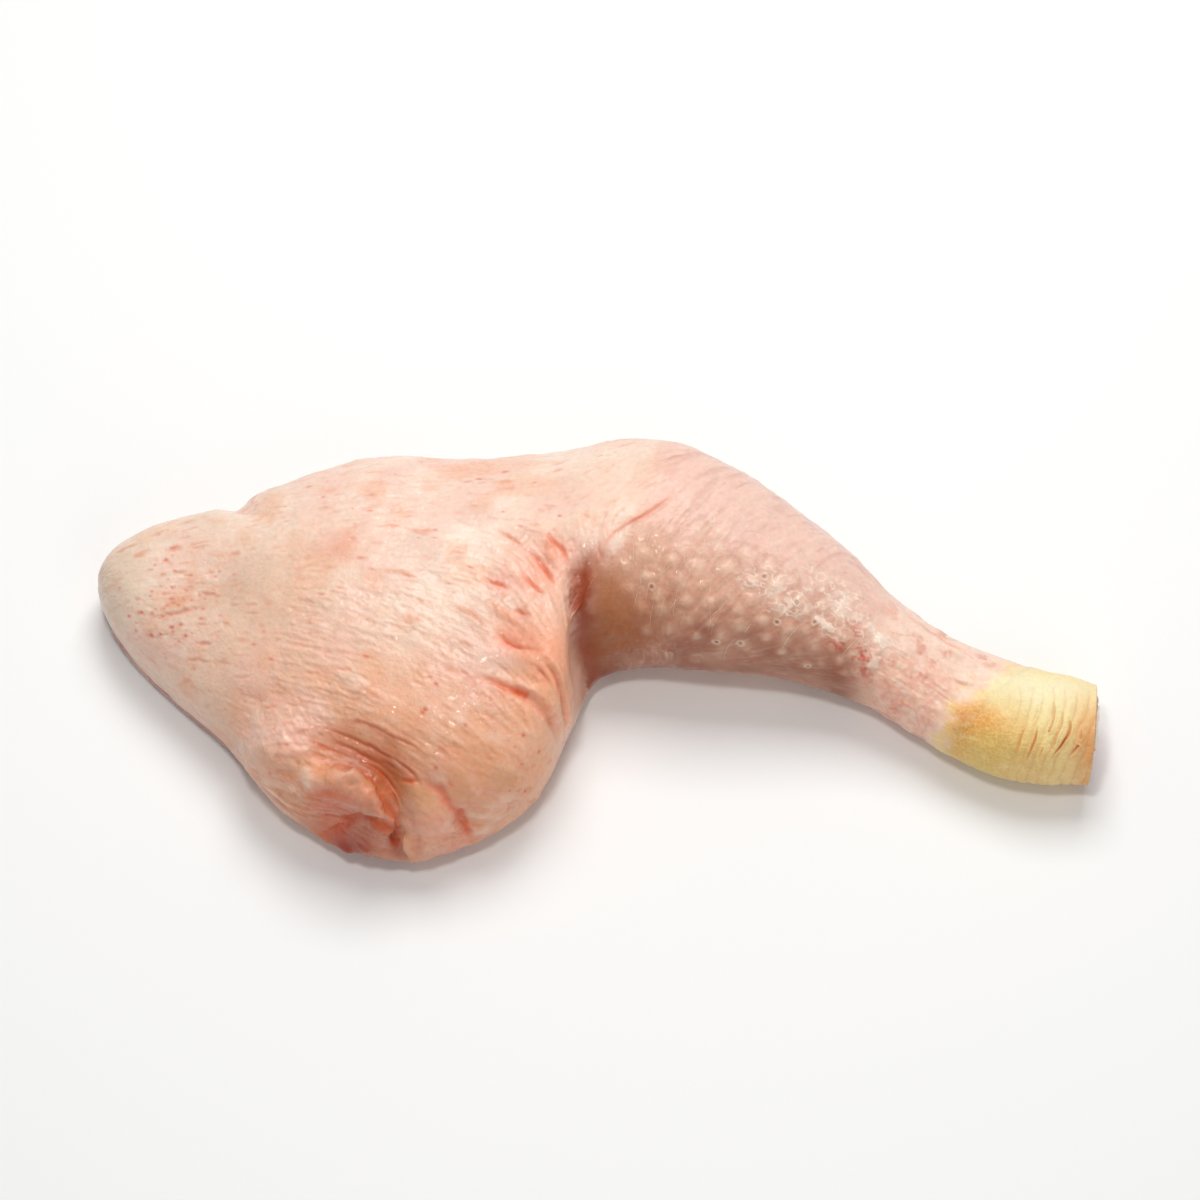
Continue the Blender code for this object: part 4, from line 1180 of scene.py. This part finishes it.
core_material = flesh_finish(
    "cut_tissue", 1300.0, 0.0003, (0.16, 0.42), 0.06,
    Subsurface_Weight=0.25, Subsurface_Radius=(1.0, 0.3, 0.2), Subsurface_Scale=0.002,
    IOR=1.4, Coat_Weight=0.4, Coat_Roughness=0.12, Coat_IOR=1.36,
)
piece = new_piece("cut_bone_and_tendons", *ring_faces(core, ("start", "end")))
give(piece, np.concatenate([side_tint, face_tint]), np.full(core.shape[:2], 0.8))
piece.data.materials.append(core_material)
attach(piece, "root")
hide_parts("shank_core")

# The bare meat of the cut side
# The muscle on the side where the leg was cut from the bird, which lies on the table and shows at
# the hip's near edge under the skin: bundles of fibres along the thigh, with fat and film between.

MEAT_ROWS = 330
MEAT_ROW_PITCH = 0.35  # about how far apart they are
BLUNT_LENGTH = 2.5
MEAT_TOP = 9.0
MEAT_BEVEL = 1.5
MEAT_BOTTOM_COLUMNS, MEAT_WALL_COLUMNS, MEAT_TOP_COLUMNS = 84, 14, 12
SHOWN_BULGE = 1.3  # how far it swells out under the skin's lip
FIBRE_STRETCH = 9.0

meat_u = np.linspace(OPEN_FIRST, OPEN_LAST, MEAT_ROWS)
meat_row = section_at(meat_u)
near_rim, far_rim, _, _ = opening_at(meat_u, 0)
meat_width = np.hypot(*(meat_row[:, [FAR_X, FAR_Y]] - meat_row[:, [NEAR_X, NEAR_Y]]).T)
# the section's outline, once round from the near rim: along the bottom, up, back over and down
climb = np.linspace(0, MEAT_TOP, MEAT_WALL_COLUMNS)
bottom_share = np.linspace(0, 1, MEAT_BOTTOM_COLUMNS)[1:-1]
top_share = np.linspace(1, 0, MEAT_TOP_COLUMNS)[1:-1]
round_share = np.concatenate([bottom_share, np.ones_like(climb), top_share, np.zeros_like(climb)])
round_height = np.concatenate([0 * bottom_share, climb, 0 * top_share + MEAT_TOP, climb[::-1]])
from_middle = np.abs(round_height - MEAT_TOP / 2)
into_bevel = np.clip(from_middle - (MEAT_TOP / 2 - MEAT_BEVEL), 0, MEAT_BEVEL)
round_inset = MEAT_BEVEL - np.sqrt(MEAT_BEVEL**2 - into_bevel**2)
span = (1 - near_rim - far_rim) * meat_width
place = round_inset + round_share * (span[:, None] - 2 * round_inset)
meat_across = 2 * (near_rim[:, None] + place / meat_width[:, None]) - 1
meat_height = np.broadcast_to(round_height[:, None], (*meat_across.shape, 1))
meat = np.concatenate([plan_at(meat_row[:, None, :], meat_across), meat_height], axis=2)
# the ends are blunt
end_distance = np.minimum(np.arange(MEAT_ROWS), np.arange(MEAT_ROWS)[::-1]) * MEAT_ROW_PITCH
meat_middle = meat.mean(axis=1, keepdims=True)
blunt = 1 - np.clip(1 - end_distance / BLUNT_LENGTH, 0, 0.85) ** 2
meat[..., :2] = meat_middle[..., :2] + (meat[..., :2] - meat_middle[..., :2]) * blunt[:, None, None]
meat_normals = facing(meat)
# fibres run along the thigh, in bundles that fat seams part
thigh_way = np.array((math.cos(math.radians(-18)), math.sin(math.radians(-18))))
run, cross_run = meat[..., :2] @ thigh_way, meat[..., :2] @ np.array((-thigh_way[1], thigh_way[0]))
bend = 5 * np.sin(run / 22)
fibre_place = np.stack([run / FIBRE_STRETCH, cross_run + bend, meat[..., 2]], axis=-1)
fibres = lumps(fibre_place, 0.8, 40) + 0.6 * lumps(fibre_place, 0.4, 41)
bundles = lumps(fibre_place, 5.0, 42) + 0.5 * lumps(meat, 9, 43)
seam = bell(bundles / 0.07)
meat_relief = 0.16 * fibres + 0.35 * bundles - 0.5 * seam
shown = smooth_step((3.6 - meat_u) / 0.8)[:, None] * (round_share == 0) * smooth_step((6 - round_height) / 3)
meat_relief = meat_relief + SHOWN_BULGE * shown
meat = meat + meat_normals * (meat_relief - 0.25)[..., None]
meat[..., 2] = np.clip(meat[..., 2] + 0.25 * (round_height < 1), 0, MEAT_TOP)

meat_tint = np.empty(meat.shape)
meat_tint[:] = paint(196, 112, 96)
stain(meat_tint, smooth_step(0.5 + 0.9 * lumps(meat, 12, 44)), paint(214, 140, 120))
stain(meat_tint, 0.5 * smooth_step(0.4 + 0.6 * fibres), paint(226, 158, 138))
stain(meat_tint, 0.5 * smooth_step(-0.4 - 0.7 * fibres), paint(160, 74, 62))
stain(meat_tint, 0.85 * seam, paint(240, 214, 186))
stain(meat_tint, 0.7 * smooth_step((lumps(meat, 14, 45) - 0.25) / 0.3), paint(236, 206, 176))
stain(meat_tint, 0.75 * shown, paint(204, 164, 152))
meat_material = flesh_finish(
    "raw_meat", 1200.0, 0.0003, (0.15, 0.40), 0.07,
    Subsurface_Weight=0.25, Subsurface_Radius=(1.0, 0.25, 0.18), Subsurface_Scale=0.0025,
    IOR=1.4, Coat_Weight=0.5, Coat_Roughness=0.12, Coat_IOR=1.36,
)
piece = new_piece("bare_meat", *ring_faces(meat, ("start", "end")))
give(piece, meat_tint, np.full(meat.shape[:2], 0.75))
piece.data.materials.append(meat_material)
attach(piece, "root")
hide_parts("thigh_meat")

# The threads on the drumstick
# Fine whitish threads of torn film that were left on the skin by plucking, stuck down, most of them
# beside the knee, and the rest spread over the drumstick towards the ankle.

THREADS = 90
SHARE_BESIDE_KNEE = 0.72
THREAD_POINTS = 16
THREAD_SIDES = 5
THREAD_RADIUS = 0.055

skin_tree = plan_tree(skin, skin_normals)
paths, path_normals = [], []
while len(paths) < THREADS:
    if len(paths) < SHARE_BESIDE_KNEE * THREADS:
        x, y = chance.normal(22, 11), chance.normal(12, 9)
    else:
        x, y = chance.uniform(24, 92), chance.uniform(-20, 28)
    length = chance.uniform(3, 8)
    step_x, step_y = lie(x, y)
    heading = math.atan2(step_y, step_x) + chance.normal(0, 0.18)
    curl = chance.normal(0, 0.035)
    spots = []
    for k in range(THREAD_POINTS):
        spot, miss = nearest(skin_tree, x, y)
        spots.append(spot)
        if miss > 0.5:
            break
        x += length / THREAD_POINTS * math.cos(heading)
        y += length / THREAD_POINTS * math.sin(heading)
        heading += curl + chance.normal(0, 0.05)
    line = np.array([skin[spot] for spot in spots])
    if len(spots) < THREAD_POINTS or miss > 0.5 or line[:, 0].min() < 9:
        continue
    line[1:-1] = (line[:-2] + 2 * line[1:-1] + line[2:]) / 4
    paths.append(line)
    path_normals.append([skin_normals[spot] for spot in spots])
paths, path_normals = np.array(paths), np.array(path_normals)
ahead = unit(np.gradient(paths, axis=1))
beside_it = np.cross(path_normals, ahead)
above_it = np.cross(ahead, beside_it)
taper = np.sin(np.linspace(0.12, math.pi - 0.12, THREAD_POINTS)) ** 0.6
radius = (THREAD_RADIUS * chance.uniform(0.6, 1.3, THREADS)[:, None] * taper)[:, :, None, None]
turn = np.arange(THREAD_SIDES) * 2 * math.pi / THREAD_SIDES
rounds = np.cos(turn)[:, None] * beside_it[:, :, None, :] - np.sin(turn)[:, None] * above_it[:, :, None, :]
tubes = paths[:, :, None, :] + 0.03 * path_normals[:, :, None, :] + radius * rounds
index = np.arange(tubes.size // 3).reshape(THREADS, THREAD_POINTS, THREAD_SIDES)
low, high = index[:, :-1], index[:, 1:]
tube_faces = [
    np.stack([low, np.roll(low, -1, axis=2), np.roll(high, -1, axis=2), high], axis=-1).reshape(-1, 4),
    index[:, 0, ::-1],
    index[:, -1],
]
thread_material, _ = shader_of(
    "pale_threads", Base_Color=(0.90, 0.66, 0.46, 1), Roughness=0.35, Subsurface_Weight=0.3,
    Subsurface_Radius=(1.0, 0.6, 0.4), Subsurface_Scale=0.0005,
)
piece = new_piece("skin_threads", tubes.reshape(-1, 3), tube_faces)
piece.data.materials.append(thread_material)
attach(piece, "root")

# The floor, the light and the camera
# A plain pale floor, one large soft light behind and above, a weak one in front, and the camera at
# 65 degrees over the near side.

PHOTO_PIXELS = 1200
PIXELS_PER_METRE = 3700.0
CAMERA_ELEVATION = 65.0
CAMERA_DISTANCE = 1.35
CAMERA_TARGET = (0.0006 - MIDDLE_X * MM, 0.0236 - MIDDLE_Y * MM, 0)

floor_mesh = bpy.data.meshes.new("floor")
floor_mesh.from_pydata([(-3, -3, 0), (3, -3, 0), (3, 3, 0), (-3, 3, 0)], [], [(0, 1, 2, 3)])
floor = bpy.data.objects.new("floor", floor_mesh)
bpy.context.scene.collection.objects.link(floor)
floor_material, floor_shader = shader_of("pale_floor", Roughness=0.6)
floor_shader.inputs["Base Color"].default_value = (0.90, 0.90, 0.89, 1)
floor.data.materials.append(floor_material)


def soft_light(name, place, aim, size, watts, mirrored=True):
    """A square area light at a place, turned to a point, and whether wet skin mirrors it."""
    data = bpy.data.lights.new(name, "AREA")
    data.size = size
    data.energy = watts
    lamp = bpy.data.objects.new(name, data)
    bpy.context.scene.collection.objects.link(lamp)
    lamp.visible_glossy = mirrored
    lamp.location = place
    lamp.rotation_mode = "QUATERNION"
    lamp.rotation_quaternion = (Vector(place) - Vector(aim)).to_track_quat("Z", "Y")


soft_light("window_behind", (0.05, 0.5, 0.9), (0, 0, 0.02), 0.5, 6.3)
soft_light("lamp_above", (-0.1, -0.12, 1.1), (0, 0, 0.02), 0.12, 2.6)
soft_light("fill_in_front", (0.4, -0.9, 0.7), (0, 0, 0.02), 0.9, 2.2, mirrored=False)

world = bpy.data.worlds.new("white_room")
world.use_nodes = True
world.node_tree.nodes["Background"].inputs["Color"].default_value = (1, 1, 1, 1)
world.node_tree.nodes["Background"].inputs["Strength"].default_value = 0.30
bpy.context.scene.world = world
bpy.context.scene.view_settings.view_transform = "Standard"

camera_data = bpy.data.cameras.new("camera")
camera_data.sensor_width = 36
camera_data.lens = CAMERA_DISTANCE * 36 / (PHOTO_PIXELS / PIXELS_PER_METRE)
camera = bpy.data.objects.new("camera", camera_data)
bpy.context.scene.collection.objects.link(camera)
back = Vector((0, -math.cos(math.radians(CAMERA_ELEVATION)), math.sin(math.radians(CAMERA_ELEVATION))))
camera.location = Vector(CAMERA_TARGET) + back * CAMERA_DISTANCE
camera.rotation_mode = "QUATERNION"
camera.rotation_quaternion = back.to_track_quat("Z", "Y")
bpy.context.scene.camera = camera
